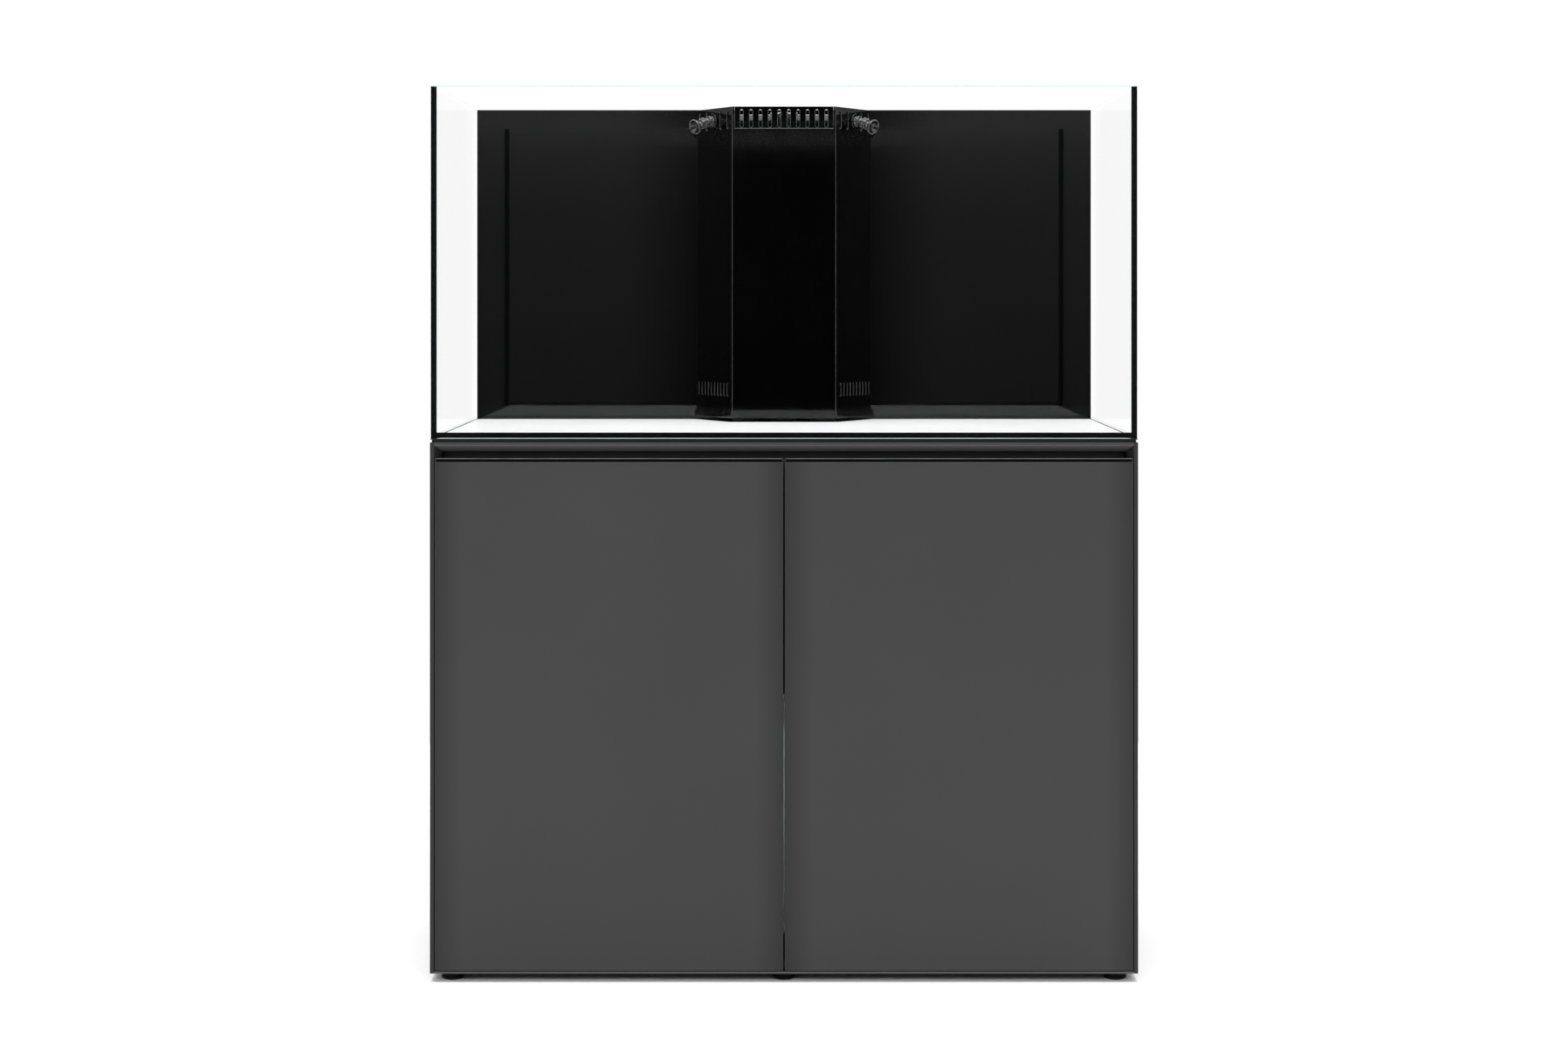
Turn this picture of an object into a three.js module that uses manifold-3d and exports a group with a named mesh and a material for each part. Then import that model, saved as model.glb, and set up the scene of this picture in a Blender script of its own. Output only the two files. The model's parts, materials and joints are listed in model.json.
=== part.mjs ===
// A rimless glass aquarium with a weir box, standing on a two-door cabinet.
// Millimetres, +Z up. The origin is on the floor under the middle of the object; the front faces -Y.
import * as THREE from "three";
import { mergeVertices } from "three/addons/utils/BufferGeometryUtils.js";
import Module from "manifold-3d";

const wasm = await Module();
wasm.setup();

// ---------- driving dimensions ----------
const touch = 0.3; // gap between pieces that rest on each other
const past = 1; // how far a cutter runs past what it cuts
const roundSides = 12; // sides of a small round piece
const fineSides = 18; // sides of a wide one

const tankWidth = 1200;
const tankDepth = 600;
const tankHeight = 600;
const paneThickness = 10;
const floorPaneThickness = 12;
const seamGap = 2; // silicone joint between two panes

const cabinetHeight = 900;
const panelThickness = 18;
const backPanelThickness = 8;
const sideLip = 6.6; // front edge of a side panel beside a door
const bottomLip = 3.6; // front edge of the bottom panel under the doors
const frameBevelDepth = 20; // how far back the bevelled frame edges run
const railLip = 5.5; // front edge of the top rail
const railHeight = 16;
const railDepth = 38;

const doorThickness = 18;
const doorSideGap = 1.5;
const doorCentreGap = 2.5;
const doorBottomGap = 1.2;
const doorBack = 2; // between a closed door and the panels behind it
const fingerGap = 10.6; // between the top rail and the doors
const pullLip = 1.8;
const pullGroove = 4.4;
const pullGrooveDepth = 6;
const doorEdgeBand = 1.5;

const matThickness = 4;
const matInset = 3;

const footHeight = 15;
const footRadius = 19;
const footInsetX = 35; // foot centre to the cabinet's side
const footInsetY = 34; // foot centre to the cabinet's front or back
const footProfile = { soleInset: 3.5, heelInset: 1, soleRise: 1.2, heelRise: 3.6, topDrop: 1.5 };
const footStemRadius = 5;
const footStemUp = 12;
const runningGap = 0.5; // round a piece that turns or slides

const dividerGap = 30; // from the sump to the inner divider
const recessBoardHeight = 66;
const recessDepth = 40; // from the front to the board behind the finger gap
const serviceOpening = { fromSide: 175, width: 220, height: 140, belowTop: 57, corner: 20 };

const hingeInset = 110; // hinge middle to the top or bottom of the door
const cupRadius = 17.2;
const cupDepth = 12;
const cupFromEdge = 23;
const cupWall = 2;
const cupFlange = { width: 44, height: 60, thickness: 1.6 };
const armBar = { thickness: 14, length: 60, height: 18, behindCup: 3.1 };
const armPlate = { thickness: 5.7, length: 48, height: 50, behindBar: 15 };

const weirBackWidth = 335;
const weirFrontWidth = 195;
const weirDepth = 110;
const weirWall = 5;
const weirDrop = 1; // below the rim of the tank
const combHeight = 41;
const combSlot = { count: 10, pitch: 17.7, width: 6, height: 33.7, above: 1.8 };
const combCorner = 4.5; // wall left at each side of the comb
const sideSlot = { count: 5, width: 6, height: 33.7, below: 7.3, first: 0.095, last: 0.876 };
const grateSlot = { count: 10, width: 4.6, height: 23.5, above: 41.5, first: 0.078, last: 0.876 };
const baseTrimHeight = 13;
const baseTrimThickness = 3.5;

const socketShare = 0.486; // of the slanted wall's length, from the back
const socketBelowRim = 26;
const socketFlange = { radius: 15, thickness: 4 };
const socketStub = { radius: 11, bore: 6, length: 16, taper: 2, room: 0.8 };
const ballRadius = 7.2;
const ballRoom = 0.5;
const neckRadius = 4.7;
const cupOuterRadius = 10.4;
const firstBallOut = 13; // first ball centre to the wall's outer face
const ballPitch = 18.5; // first ball centre to the second
const shoulder = { back: 3, inset: 1.5, chamfer: 0.8, rise: 2.4 }; // from a swivel's neck to its cup
const nozzleLength = 18;
const nozzleRadius = 14.4;
const nozzleBore = 12;
const nozzleBody = { start: 8, radius: 9.4, shoulder: 9.2, waist: 12, waistRadius: 9.8 };
const nozzleLip = { below: 3.2, inset: 0.8, edge: 2, chamfer: 0.6 };
const nozzleThroat = { radius: 8, depth: 7 };
const waterBore = 3.2;
const nozzleYaw = 47; // degrees outward from straight ahead
const nozzleDip = 20; // degrees below level

const drainX = 74; // drains to each side of the return riser
const drainFromBack = 53.7; // behind them, to the back of the weir box
const riserFromBack = 43.2;
const drainPipeRadius = 20;
const returnPipeRadius = 14;
const pipeWall = 2.5;
const bulkhead = { flange: 32, flangeHeight: 8, tail: 23.5, nut: 33, nutHeight: 16, tailBelowTop: 20 };
const plumbingHole = 36;
const mainPipeTop = 62; // standpipe tops, below the rim
const emergencyPipeTop = 52;
const drainStraight = 120; // upright stretch of the main drain below its bulkhead, with the valve on it
const drainElbow = 170; // elbows above the sump
const upperEmergencyElbow = 183.4;
const upperReturnElbow = 223.4;
const lowerElbow = 67;
const drainOutletDrop = 18; // the main drain ends this far below the top of the sump, in the filter cup
const emergencyOutlet = { fromRight: 50, fromBack: 70, aboveSump: 15 };
const collar = { radius: 14.5, length: 13, elbowOut: 4 };
const strainerSlot = { count: 5, width: 5, height: 36 };

const sump = { fromSide: 22, length: 780, depth: 380, height: 380, wall: 8 };
const baffle = { thickness: 6, first: 235, second: 595, height: 300 }; // places from the sump's left end
const filterCup = { fromLeft: 120, fromBack: 130, radius: 82, wall: 3, depth: 150, rim: 92, rimHeight: 3 };
const cupWindow = { count: 8, width: 26, plain: 50, drop: 5 };
const cupHolder = { thickness: 8, length: 215 };
const pump = { fromRight: 125, fromBack: 150, width: 84, depth: 116, height: 104, outlet: 34, bore: 20 };
const pumpInlet = { radius: 24, length: 22 };
const valve = { belowStart: 76.7, radius: 29, height: 54, stem: 8, stemLength: 9 };
const lever = { length: 84, width: 20, thickness: 5, hubOver: 2, hubProud: 4 };

// ---------- levels and faces worked out from them ----------
const cabinetTop = footHeight + cabinetHeight;
const halfWidth = tankWidth / 2;
const front = -tankDepth / 2;
const back = tankDepth / 2;
const matBottom = cabinetTop + touch;
const tankBase = matBottom + matThickness + touch;
const rim = tankBase + tankHeight;
const tankFloor = tankBase + floorPaneThickness;
const innerHalf = halfWidth - panelThickness;
const topPanelBottom = cabinetTop - panelThickness;
const bottomPanelTop = footHeight + panelThickness;
const doorBottom = footHeight + bottomLip + doorBottomGap;
const doorTop = cabinetTop - railHeight - fingerGap;
const backPanelFront = back - backPanelThickness;
const backPaneFace = back - paneThickness;
const weirBackY = backPaneFace - touch;
const weirFrontY = weirBackY - weirDepth;
const drainY = weirBackY - drainFromBack;
const riserY = weirBackY - riserFromBack;
const sumpLeft = -innerHalf + sump.fromSide;
const sumpRight = sumpLeft + sump.length;
const sumpFront = -sump.depth / 2;
const sumpBack = sump.depth / 2;
const dividerLeft = sumpRight + dividerGap;
const filterCupX = sumpLeft + filterCup.fromLeft;
const filterCupY = sumpBack - filterCup.fromBack;
const pumpX = sumpRight - pump.fromRight;
const pumpY = sumpBack - pump.fromBack;

// ---------- finishes ----------
function finish(color, roughness, metalness = 0) {
  return new THREE.MeshStandardMaterial({ color, roughness, metalness });
}

const laminate = () => finish(0x47484a, 0.45);
const darkLaminate = () => finish(0x2a2b2c, 0.5);
const clearGlass = () => finish(0xdfeceb, 0.03);
const blackGlass = () => finish(0x060607, 0.05);
const glossPlastic = () => finish(0x090909, 0.12);
const moulding = () => finish(0x1b1c1d, 0.22);
const pipePlastic = () => finish(0x2b2d30, 0.35);
const greyFitting = () => finish(0x3c3f42, 0.35);
const redPlastic = () => finish(0x9d1c1c, 0.35);
const steel = () => finish(0xb9bbbd, 0.3, 1);
const rubber = () => finish(0x0c0c0c, 0.85);

// ---------- solids ----------
function toSolid(geometry) {
  const bare = geometry.index ? geometry.toNonIndexed() : geometry.clone();
  bare.deleteAttribute("normal");
  bare.deleteAttribute("uv");
  const merged = mergeVertices(bare, 1e-4);
  return new wasm.Manifold(
    new wasm.Mesh({
      numProp: 3,
      vertProperties: new Float32Array(merged.attributes.position.array),
      triVerts: new Uint32Array(merged.index.array),
    }),
  );
}

function toMesh(name, material, solid) {
  const made = solid.getMesh();
  const geometry = new THREE.BufferGeometry();
  geometry.setAttribute("position", new THREE.BufferAttribute(made.vertProperties, 3));
  geometry.setIndex(new THREE.BufferAttribute(made.triVerts, 1));
  geometry.computeVertexNormals();
  const mesh = new THREE.Mesh(geometry, material);
  mesh.name = name;
  return mesh;
}

function block(x0, x1, y0, y1, z0, z1) {
  const box = new THREE.BoxGeometry(x1 - x0, y1 - y0, z1 - z0);
  box.translate((x0 + x1) / 2, (y0 + y1) / 2, (z0 + z1) / 2);
  return toSolid(box);
}

// A plan outline of [x, y] points carried from z0 up to z1.
function plate(points, z0, z1) {
  const outline = new THREE.Shape(points.map(([x, y]) => new THREE.Vector2(x, y)));
  const geometry = new THREE.ExtrudeGeometry(outline, { depth: z1 - z0, bevelEnabled: false });
  geometry.translate(0, 0, z0);
  return toSolid(geometry);
}

// A side outline of [y, z] points carried from x0 to x1.
function rail(points, x0, x1) {
  const outline = new THREE.Shape(points.map(([y, z]) => new THREE.Vector2(y, z)));
  const geometry = new THREE.ExtrudeGeometry(outline, { depth: x1 - x0, bevelEnabled: false });
  const turn = new THREE.Matrix4().set(0, 0, 1, x0, 1, 0, 0, 0, 0, 1, 0, 0, 0, 0, 0, 1);
  geometry.applyMatrix4(turn);
  return toSolid(geometry);
}

// A turned piece about Z, from [radius, z] points that start and end on the axis or close on themselves.
function turned(points, sides = roundSides) {
  const profile = points.map(([r, z]) => new THREE.Vector2(r, z));
  const geometry = new THREE.LatheGeometry(profile, sides);
  geometry.rotateX(Math.PI / 2);
  return toSolid(geometry);
}

function upright(radius, z0, z1, x = 0, y = 0, sides = roundSides) {
  const rod = new THREE.CylinderGeometry(radius, radius, z1 - z0, sides);
  rod.rotateX(Math.PI / 2);
  rod.translate(x, y, (z0 + z1) / 2);
  return toSolid(rod);
}

// A round bar between two points.
function bar(from, to, radius, sides = roundSides) {
  const start = new THREE.Vector3(...from);
  const end = new THREE.Vector3(...to);
  const rod = new THREE.CylinderGeometry(radius, radius, start.distanceTo(end), sides);
  rod.translate(0, start.distanceTo(end) / 2, 0);
  const along = end.clone().sub(start).normalize();
  const turn = new THREE.Quaternion().setFromUnitVectors(new THREE.Vector3(0, 1, 0), along);
  rod.applyQuaternion(turn);
  rod.translate(...from);
  return toSolid(rod);
}

function ball(radius, centre, sides = roundSides) {
  const sphere = new THREE.SphereGeometry(radius, sides, sides / 2);
  sphere.translate(...centre);
  return toSolid(sphere);
}

// A pipe through a list of points, with a rounded elbow at each bend, open at both ends.
function pipe(points, radius, wall) {
  let outside = bar(points[0], points[1], radius);
  let inside = bar(points[0], points[1], radius - wall);
  for (let i = 1; i < points.length - 1; i += 1) {
    const next = points[i + past];
    outside = outside.add(ball(radius, points[i])).add(bar(points[i], next, radius));
    inside = inside.add(ball(radius - wall, points[i])).add(bar(points[i], next, radius - wall));
  }
  return outside.subtract(inside);
}

// A slot with round ends, standing upright: its plate lies in XZ and is cut along Y.
function slotCutter(width, height, depth) {
  const half = width / 2;
  const straight = height / 2 - half;
  const outline = new THREE.Shape();
  outline.moveTo(half, -straight);
  outline.lineTo(half, straight);
  outline.absarc(0, straight, half, 0, Math.PI, false);
  outline.lineTo(-half, -straight);
  outline.absarc(0, -straight, half, Math.PI, 2 * Math.PI, false);
  const cut = new THREE.ExtrudeGeometry(outline, { depth, bevelEnabled: false, curveSegments: 2 });
  cut.translate(0, 0, -depth / 2);
  cut.rotateX(Math.PI / 2);
  return cut;
}

function roundedOpening(x, width, z0, height, corner, y0, y1) {
  const x0 = x - width / 2;
  const x1 = x + width / 2;
  const z1 = z0 + height;
  return block(x0 + corner, x1 - corner, y0, y1, z0, z1)
    .add(block(x0, x1, y0, y1, z0 + corner, z1 - corner))
    .add(bar([x0 + corner, y0, z0 + corner], [x0 + corner, y1, z0 + corner], corner))
    .add(bar([x1 - corner, y0, z0 + corner], [x1 - corner, y1, z0 + corner], corner))
    .add(bar([x0 + corner, y0, z1 - corner], [x0 + corner, y1, z1 - corner], corner))
    .add(bar([x1 - corner, y0, z1 - corner], [x1 - corner, y1, z1 - corner], corner));
}

// ---------- the cabinet ----------
const object = new THREE.Group();
const cabinet = new THREE.Group();
const tank = new THREE.Group();
const plumbing = new THREE.Group();
object.add(cabinet, tank, plumbing);

const sides = [
  { name: "left", sign: -1 },
  { name: "right", sign: 1 },
];

function mirrored(points, sign) {
  return points.map(([x, y]) => [sign * x, y]);
}

// Plan of what fits between the two bevelled side panels, back to the depth given.
function betweenSides(depth) {
  const lip = halfWidth - sideLip - touch;
  const inside = innerHalf - touch;
  const turnY = front + frameBevelDepth;
  return [
    [-lip, front],
    [lip, front],
    [inside, turnY],
    [inside, depth],
    [-inside, depth],
    [-inside, turnY],
  ];
}

for (const { name, sign } of sides) {
  const outline = [
    [halfWidth, front],
    [halfWidth, back],
    [innerHalf, back],
    [innerHalf, front + frameBevelDepth],
    [halfWidth - sideLip, front],
  ];
  const panel = plate(mirrored(outline, sign), footHeight, cabinetTop);
  cabinet.add(toMesh(`${name}_side_panel`, laminate(), panel));
}

const footPlaces = [];
for (const [row, y] of [
  ["front", front + footInsetY],
  ["back", back - footInsetY],
]) {
  footPlaces.push({ name: `${row}_left_foot`, x: -halfWidth + footInsetX, y });
  footPlaces.push({ name: `${row}_middle_foot`, x: 0, y });
  footPlaces.push({ name: `${row}_right_foot`, x: halfWidth - footInsetX, y });
}

function bottomPanel() {
  const step = front + doorThickness + doorBack;
  const side = [
    [front, footHeight],
    [backPanelFront - touch, footHeight],
    [backPanelFront - touch, bottomPanelTop],
    [step, bottomPanelTop],
    [step, footHeight + bottomLip],
    [front, footHeight + bottomLip],
  ];
  let panel = rail(side, -halfWidth, halfWidth).intersect(
    plate(betweenSides(back), footHeight - past, bottomPanelTop + past),
  );
  for (const { x, y } of footPlaces) {
    const hole = footStemRadius + runningGap;
    panel = panel.subtract(upright(hole, footHeight - past, bottomPanelTop + past, x, y, fineSides));
  }
  return panel;
}
cabinet.add(toMesh("bottom_panel", laminate(), bottomPanel()));

function topRail() {
  const bevelEnd = front + frameBevelDepth;
  const side = [
    [front, cabinetTop],
    [front, cabinetTop - railLip],
    [bevelEnd, cabinetTop - railHeight],
    [front + railDepth, cabinetTop - railHeight],
    [front + railDepth, cabinetTop],
  ];
  return rail(side, -halfWidth, halfWidth).intersect(
    plate(betweenSides(back), topPanelBottom - past, cabinetTop + past),
  );
}
cabinet.add(toMesh("top_rail", laminate(), topRail()));

const inside = innerHalf - touch;
const topPanelFront = front + railDepth + touch;
const pipePlaces = [
  [-drainX, drainY],
  [0, riserY],
  [drainX, drainY],
];

function topPanel() {
  let panel = block(-inside, inside, topPanelFront, backPanelFront - touch, topPanelBottom, cabinetTop);
  for (const [x, y] of pipePlaces) {
    panel = panel.subtract(upright(plumbingHole, topPanelBottom - past, cabinetTop + past, x, y));
  }
  return panel;
}
cabinet.add(toMesh("top_panel", darkLaminate(), topPanel()));

const boardFront = front + recessDepth;
const boardBack = boardFront + panelThickness;
const boardTop = topPanelBottom - touch;
cabinet.add(
  toMesh(
    "recess_board",
    darkLaminate(),
    block(-inside, inside, boardFront, boardBack, boardTop - recessBoardHeight, boardTop),
  ),
);

cabinet.add(
  toMesh(
    "inner_divider",
    darkLaminate(),
    block(
      dividerLeft,
      dividerLeft + panelThickness,
      boardBack + touch,
      backPanelFront - touch,
      bottomPanelTop + touch,
      boardTop,
    ),
  ),
);

function backPanel() {
  let panel = block(-inside, inside, backPanelFront, back, footHeight, cabinetTop);
  for (const { sign } of sides) {
    const { fromSide, width, height, belowTop, corner } = serviceOpening;
    const x = sign * (halfWidth - fromSide);
    const bottom = topPanelBottom - belowTop - height;
    const hole = roundedOpening(x, width, bottom, height, corner, backPanelFront - past, back + past);
    panel = panel.subtract(hole);
  }
  return panel;
}
cabinet.add(toMesh("back_panel", darkLaminate(), backPanel()));

function foot({ name, x, y }) {
  const { soleInset, heelInset, soleRise, heelRise, topDrop } = footProfile;
  const stemTop = footHeight + footStemUp;
  const outline = [
    [0, 0],
    [footRadius - soleInset, 0],
    [footRadius - heelInset, soleRise],
    [footRadius, heelRise],
    [footRadius, footHeight - topDrop],
    [footStemRadius, footHeight - topDrop],
    [footStemRadius, stemTop],
    [0, stemTop],
  ];
  return toMesh(name, rubber(), turned(outline, fineSides).translate([x, y, 0]));
}
footPlaces.forEach((place) => cabinet.add(foot(place)));

// ---------- the doors ----------
const doorBackFace = front + doorThickness;
const doorFrontEdge = halfWidth - sideLip - doorSideGap;
const bevelSlope = (panelThickness - sideLip) / frameBevelDepth;

// Plan of the right door, taken in by the inset at its two ends and past both faces by the overshoot.
function doorPlan(inset, overshoot) {
  const edge = (y) => doorFrontEdge - inset - (y - front) * bevelSlope;
  const middle = doorCentreGap / 2 + inset;
  const y0 = front - overshoot;
  const y1 = doorBackFace + overshoot;
  return [
    [middle, y0],
    [edge(y0), y0],
    [edge(y1), y1],
    [middle, y1],
  ];
}

const pullHeight = pullLip + pullGroove;
const cupX = doorFrontEdge - doorThickness * bevelSlope - cupFromEdge;
const hingeLevels = [
  { name: "lower", z: doorBottom + hingeInset },
  { name: "upper", z: doorTop - hingeInset },
];

function door(sign) {
  const notch = plate(mirrored(doorPlan(doorEdgeBand, 1), sign), doorTop - pullHeight, doorTop + past);
  let panel = plate(mirrored(doorPlan(0, 0), sign), doorBottom, doorTop).subtract(notch);
  for (const { z } of hingeLevels) {
    const x = sign * cupX;
    const room = cupRadius + touch;
    panel = panel.subtract(bar([x, doorBackFace - cupDepth - touch, z], [x, doorBackFace + past, z], room));
  }
  return panel;
}

function pullStrip(sign) {
  const z0 = doorTop - pullHeight + touch;
  const lipBottom = doorTop - pullLip;
  const side = [
    [front, lipBottom],
    [front, doorTop],
    [doorBackFace, doorTop],
    [doorBackFace, z0],
    [front + pullGrooveDepth, z0],
    [front + pullGrooveDepth, lipBottom],
  ];
  const plan = plate(mirrored(doorPlan(doorEdgeBand + touch, 1), sign), z0 - 1, doorTop + past);
  return rail(side, -halfWidth, halfWidth).intersect(plan);
}

function hingeCup(sign, z) {
  const x = sign * cupX;
  const faceY = doorBackFace + touch;
  const flangeBack = faceY + cupFlange.thickness;
  const halfFlange = cupFlange.width / 2;
  const halfTall = cupFlange.height / 2;
  const bottomY = doorBackFace - cupDepth;
  return block(x - halfFlange, x + halfFlange, faceY, flangeBack, z - halfTall, z + halfTall)
    .add(bar([x, bottomY, z], [x, faceY + past, z], cupRadius))
    .subtract(bar([x, bottomY + cupWall, z], [x, flangeBack + past, z], cupRadius - cupWall));
}

function hingeArm(sign, z) {
  const wallX = inside;
  const plateX = wallX - armPlate.thickness;
  const barX = plateX - armBar.thickness;
  const barY = doorBackFace + touch + cupFlange.thickness + armBar.behindCup;
  const plateY = barY + armPlate.behindBar;
  const halfPlate = armPlate.height / 2;
  const halfBar = armBar.height / 2;
  const order = (a, b) => (sign > 0 ? [a, b] : [-b, -a]);
  return block(...order(plateX, wallX), plateY, plateY + armPlate.length, z - halfPlate, z + halfPlate).add(
    block(...order(barX, plateX + past), barY, barY + armBar.length, z - halfBar, z + halfBar),
  );
}

for (const { name, sign } of sides) {
  cabinet.add(toMesh(`${name}_door`, laminate(), door(sign)));
  cabinet.add(toMesh(`${name}_door_pull`, moulding(), pullStrip(sign)));
  for (const level of hingeLevels) {
    const hinge = `${name}_${level.name}_hinge`;
    cabinet.add(toMesh(`${hinge}_cup`, steel(), hingeCup(sign, level.z)));
    cabinet.add(toMesh(`${hinge}_arm`, steel(), hingeArm(sign, level.z)));
  }
}

// ---------- the tank ----------
function levellingMat() {
  const x = halfWidth - matInset;
  const y = back - matInset;
  let mat = block(-x, x, -y, y, matBottom, matBottom + matThickness);
  for (const place of pipePlaces) {
    mat = mat.subtract(upright(plumbingHole, matBottom - past, matBottom + matThickness + past, ...place));
  }
  return mat;
}
tank.add(toMesh("levelling_mat", rubber(), levellingMat()));

const frontPaneFace = front + paneThickness;
const sidePaneFace = halfWidth - paneThickness;
const floorX = sidePaneFace - seamGap;
const floorFront = frontPaneFace + seamGap;
const floorBack = backPaneFace - seamGap;

function floorPane() {
  let pane = block(-floorX, floorX, floorFront, floorBack, tankBase, tankFloor);
  for (const place of pipePlaces) {
    pane = pane.subtract(upright(bulkhead.tail + touch, tankBase - past, tankFloor + past, ...place));
  }
  return pane;
}
tank.add(toMesh("floor_pane", clearGlass(), floorPane()));
function pane(x0, x1, y0, y1) {
  return block(x0, x1, y0, y1, tankBase, rim);
}
tank.add(toMesh("front_pane", clearGlass(), pane(-halfWidth, halfWidth, front, frontPaneFace)));
tank.add(toMesh("back_pane", blackGlass(), pane(-halfWidth, halfWidth, backPaneFace, back)));
for (const { name, sign } of sides) {
  const [x0, x1] = sign > 0 ? [sidePaneFace, halfWidth] : [-halfWidth, -sidePaneFace];
  tank.add(toMesh(`${name}_pane`, clearGlass(), pane(x0, x1, floorFront, floorBack)));
}

// One bead of silicone: round the floor pane, and up the four corners.
function silicone() {
  const outX = sidePaneFace - touch;
  const inX = floorX + touch;
  const y0 = frontPaneFace + touch;
  const y1 = floorFront - touch;
  const y2 = floorBack + touch;
  const y3 = backPaneFace - touch;
  const edge = halfWidth - touch;
  const ring = block(-outX, outX, y0, y3, tankBase, tankFloor).subtract(
    block(-inX, inX, y1, y2, tankBase - past, tankFloor + past),
  );
  let bead = ring;
  for (const [a, b] of [
    [y0, y1],
    [y2, y3],
  ]) {
    bead = bead.add(block(-edge, edge, a, b, tankBase, tankFloor));
    for (const { sign } of sides) {
      const [x0, x1] = sign > 0 ? [floorX + touch, edge] : [-edge, -floorX - touch];
      bead = bead.add(block(x0, x1, a, b, tankBase, rim - touch));
    }
  }
  return bead;
}
tank.add(toMesh("silicone_seams", rubber(), silicone()));

// ---------- the weir box ----------
const weirBottom = tankFloor + touch;
const weirTop = rim - weirDrop;
const slantX = (weirBackWidth - weirFrontWidth) / 2;
const slantLength = Math.hypot(slantX, weirDepth);
const slantAngle = Math.atan2(weirDepth, slantX);

// Half width of the weir box at the front and back for an outline moved inwards by the inset.
function weirOutline(inset) {
  const atBack = weirBackWidth / 2 - inset / Math.sin(slantAngle);
  const frontY = weirFrontY + inset;
  const atFront = weirFrontWidth / 2 - inset / Math.sin(slantAngle) + inset / Math.tan(slantAngle);
  return { atBack, atFront, frontY };
}

function weirPlan(outer, inner) {
  const a = weirOutline(outer);
  const b = weirOutline(inner);
  return [
    [-a.atBack, weirBackY],
    [-a.atFront, a.frontY],
    [a.atFront, a.frontY],
    [a.atBack, weirBackY],
    [b.atBack, weirBackY],
    [b.atFront, b.frontY],
    [-b.atFront, b.frontY],
    [-b.atBack, weirBackY],
  ];
}

// A point on the outer face of a slanted wall: the share runs from the back corner to the front one.
function onSlant(sign, share) {
  return [sign * (weirBackWidth / 2 - share * slantX), weirBackY - share * weirDepth];
}

function slantSlot(sign, share, z, slot) {
  const [x, y] = onSlant(sign, share);
  const cut = slotCutter(slot.width, slot.height, 4 * weirWall);
  cut.rotateZ(sign * slantAngle);
  cut.translate(x, y, z);
  return toSolid(cut);
}

const combHalf = weirFrontWidth / 2 - combCorner;
const combBottom = weirTop - combHeight;
const socketZ = rim - socketBelowRim;

function weirBox() {
  const room = combHalf + touch;
  const cutBack = weirFrontY + weirWall + 1;
  let box = plate(weirPlan(0, weirWall), weirBottom, weirTop).subtract(
    block(-room, room, weirFrontY - past, cutBack, combBottom - touch, weirTop + past),
  );
  for (const { sign } of sides) {
    for (const slot of [sideSlot, grateSlot]) {
      const upper = slot === sideSlot;
      const fromTop = weirTop - slot.below - slot.height / 2;
      const fromBottom = weirBottom + slot.above + slot.height / 2;
      const z = upper ? fromTop : fromBottom;
      for (let i = 0; i < slot.count; i += 1) {
        const share = slot.first + ((slot.last - slot.first) * i) / (slot.count - 1);
        const underSocket = upper && i === (slot.count - 1) / 2;
        if (!underSocket) box = box.subtract(slantSlot(sign, share, z, slot));
      }
    }
    const { centre, outward } = socketPlace(sign);
    const through = outward.clone().multiplyScalar(2 * weirWall);
    const start = centre.clone().add(through);
    const end = centre.clone().sub(through);
    box = box.subtract(bar(start.toArray(), end.toArray(), socketStub.radius + socketStub.room));
  }
  return box;
}

// Where the return socket stands on a slanted wall, and the wall's outward direction.
function socketPlace(sign) {
  const [x, y] = onSlant(sign, socketShare);
  const outward = new THREE.Vector3(sign * Math.sin(slantAngle), -Math.cos(slantAngle), 0);
  return { centre: new THREE.Vector3(x, y, socketZ), outward };
}

function combPlate() {
  let comb = block(-combHalf, combHalf, weirFrontY, weirFrontY + weirWall, combBottom, weirTop);
  const z = combBottom + combSlot.above + combSlot.height / 2;
  for (let i = 0; i < combSlot.count; i += 1) {
    const x = (i - (combSlot.count - 1) / 2) * combSlot.pitch;
    const cut = slotCutter(combSlot.width, combSlot.height, 4 * weirWall);
    cut.translate(x, weirFrontY, z);
    comb = comb.subtract(toSolid(cut));
  }
  return comb;
}

tank.add(toMesh("weir_box", glossPlastic(), weirBox()));
tank.add(toMesh("weir_comb", glossPlastic(), combPlate()));
tank.add(
  toMesh(
    "weir_base_trim",
    glossPlastic(),
    plate(weirPlan(-touch - baseTrimThickness, -touch), weirBottom, weirBottom + baseTrimHeight),
  ),
);

// ---------- the return nozzles ----------
const cavityRadius = ballRadius + ballRoom;
const neckAngle = THREE.MathUtils.radToDeg(Math.asin(neckRadius / ballRadius));
const flatBackAngle = 148; // the bored back of a ball
const ballBack = ballRadius * Math.cos(THREE.MathUtils.degToRad(flatBackAngle));

// An arc of [radius, z] points round a ball centre on the axis, from one angle off the axis to another.
function arc(radius, z, from, to, steps) {
  const points = [];
  for (let i = 0; i <= steps; i += 1) {
    const angle = THREE.MathUtils.degToRad(from + ((to - from) * i) / steps);
    points.push([radius * Math.sin(angle), z + radius * Math.cos(angle)]);
  }
  return points;
}

const cupRimAngle = 78; // the cup holds the ball this far from the axis
const cavityBackAngle = 150;
const cupRimLand = 1; // chamfer round the rim of a cup

// The hollow end of a ball cup, from its outer rim to the bore behind it.
function cupMouth(z) {
  const rimZ = z + cavityRadius * Math.cos(THREE.MathUtils.degToRad(cupRimAngle));
  return [
    [cupOuterRadius - cupRimLand, rimZ],
    ...arc(cavityRadius, z, cupRimAngle, cavityBackAngle, 4),
  ];
}

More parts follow.
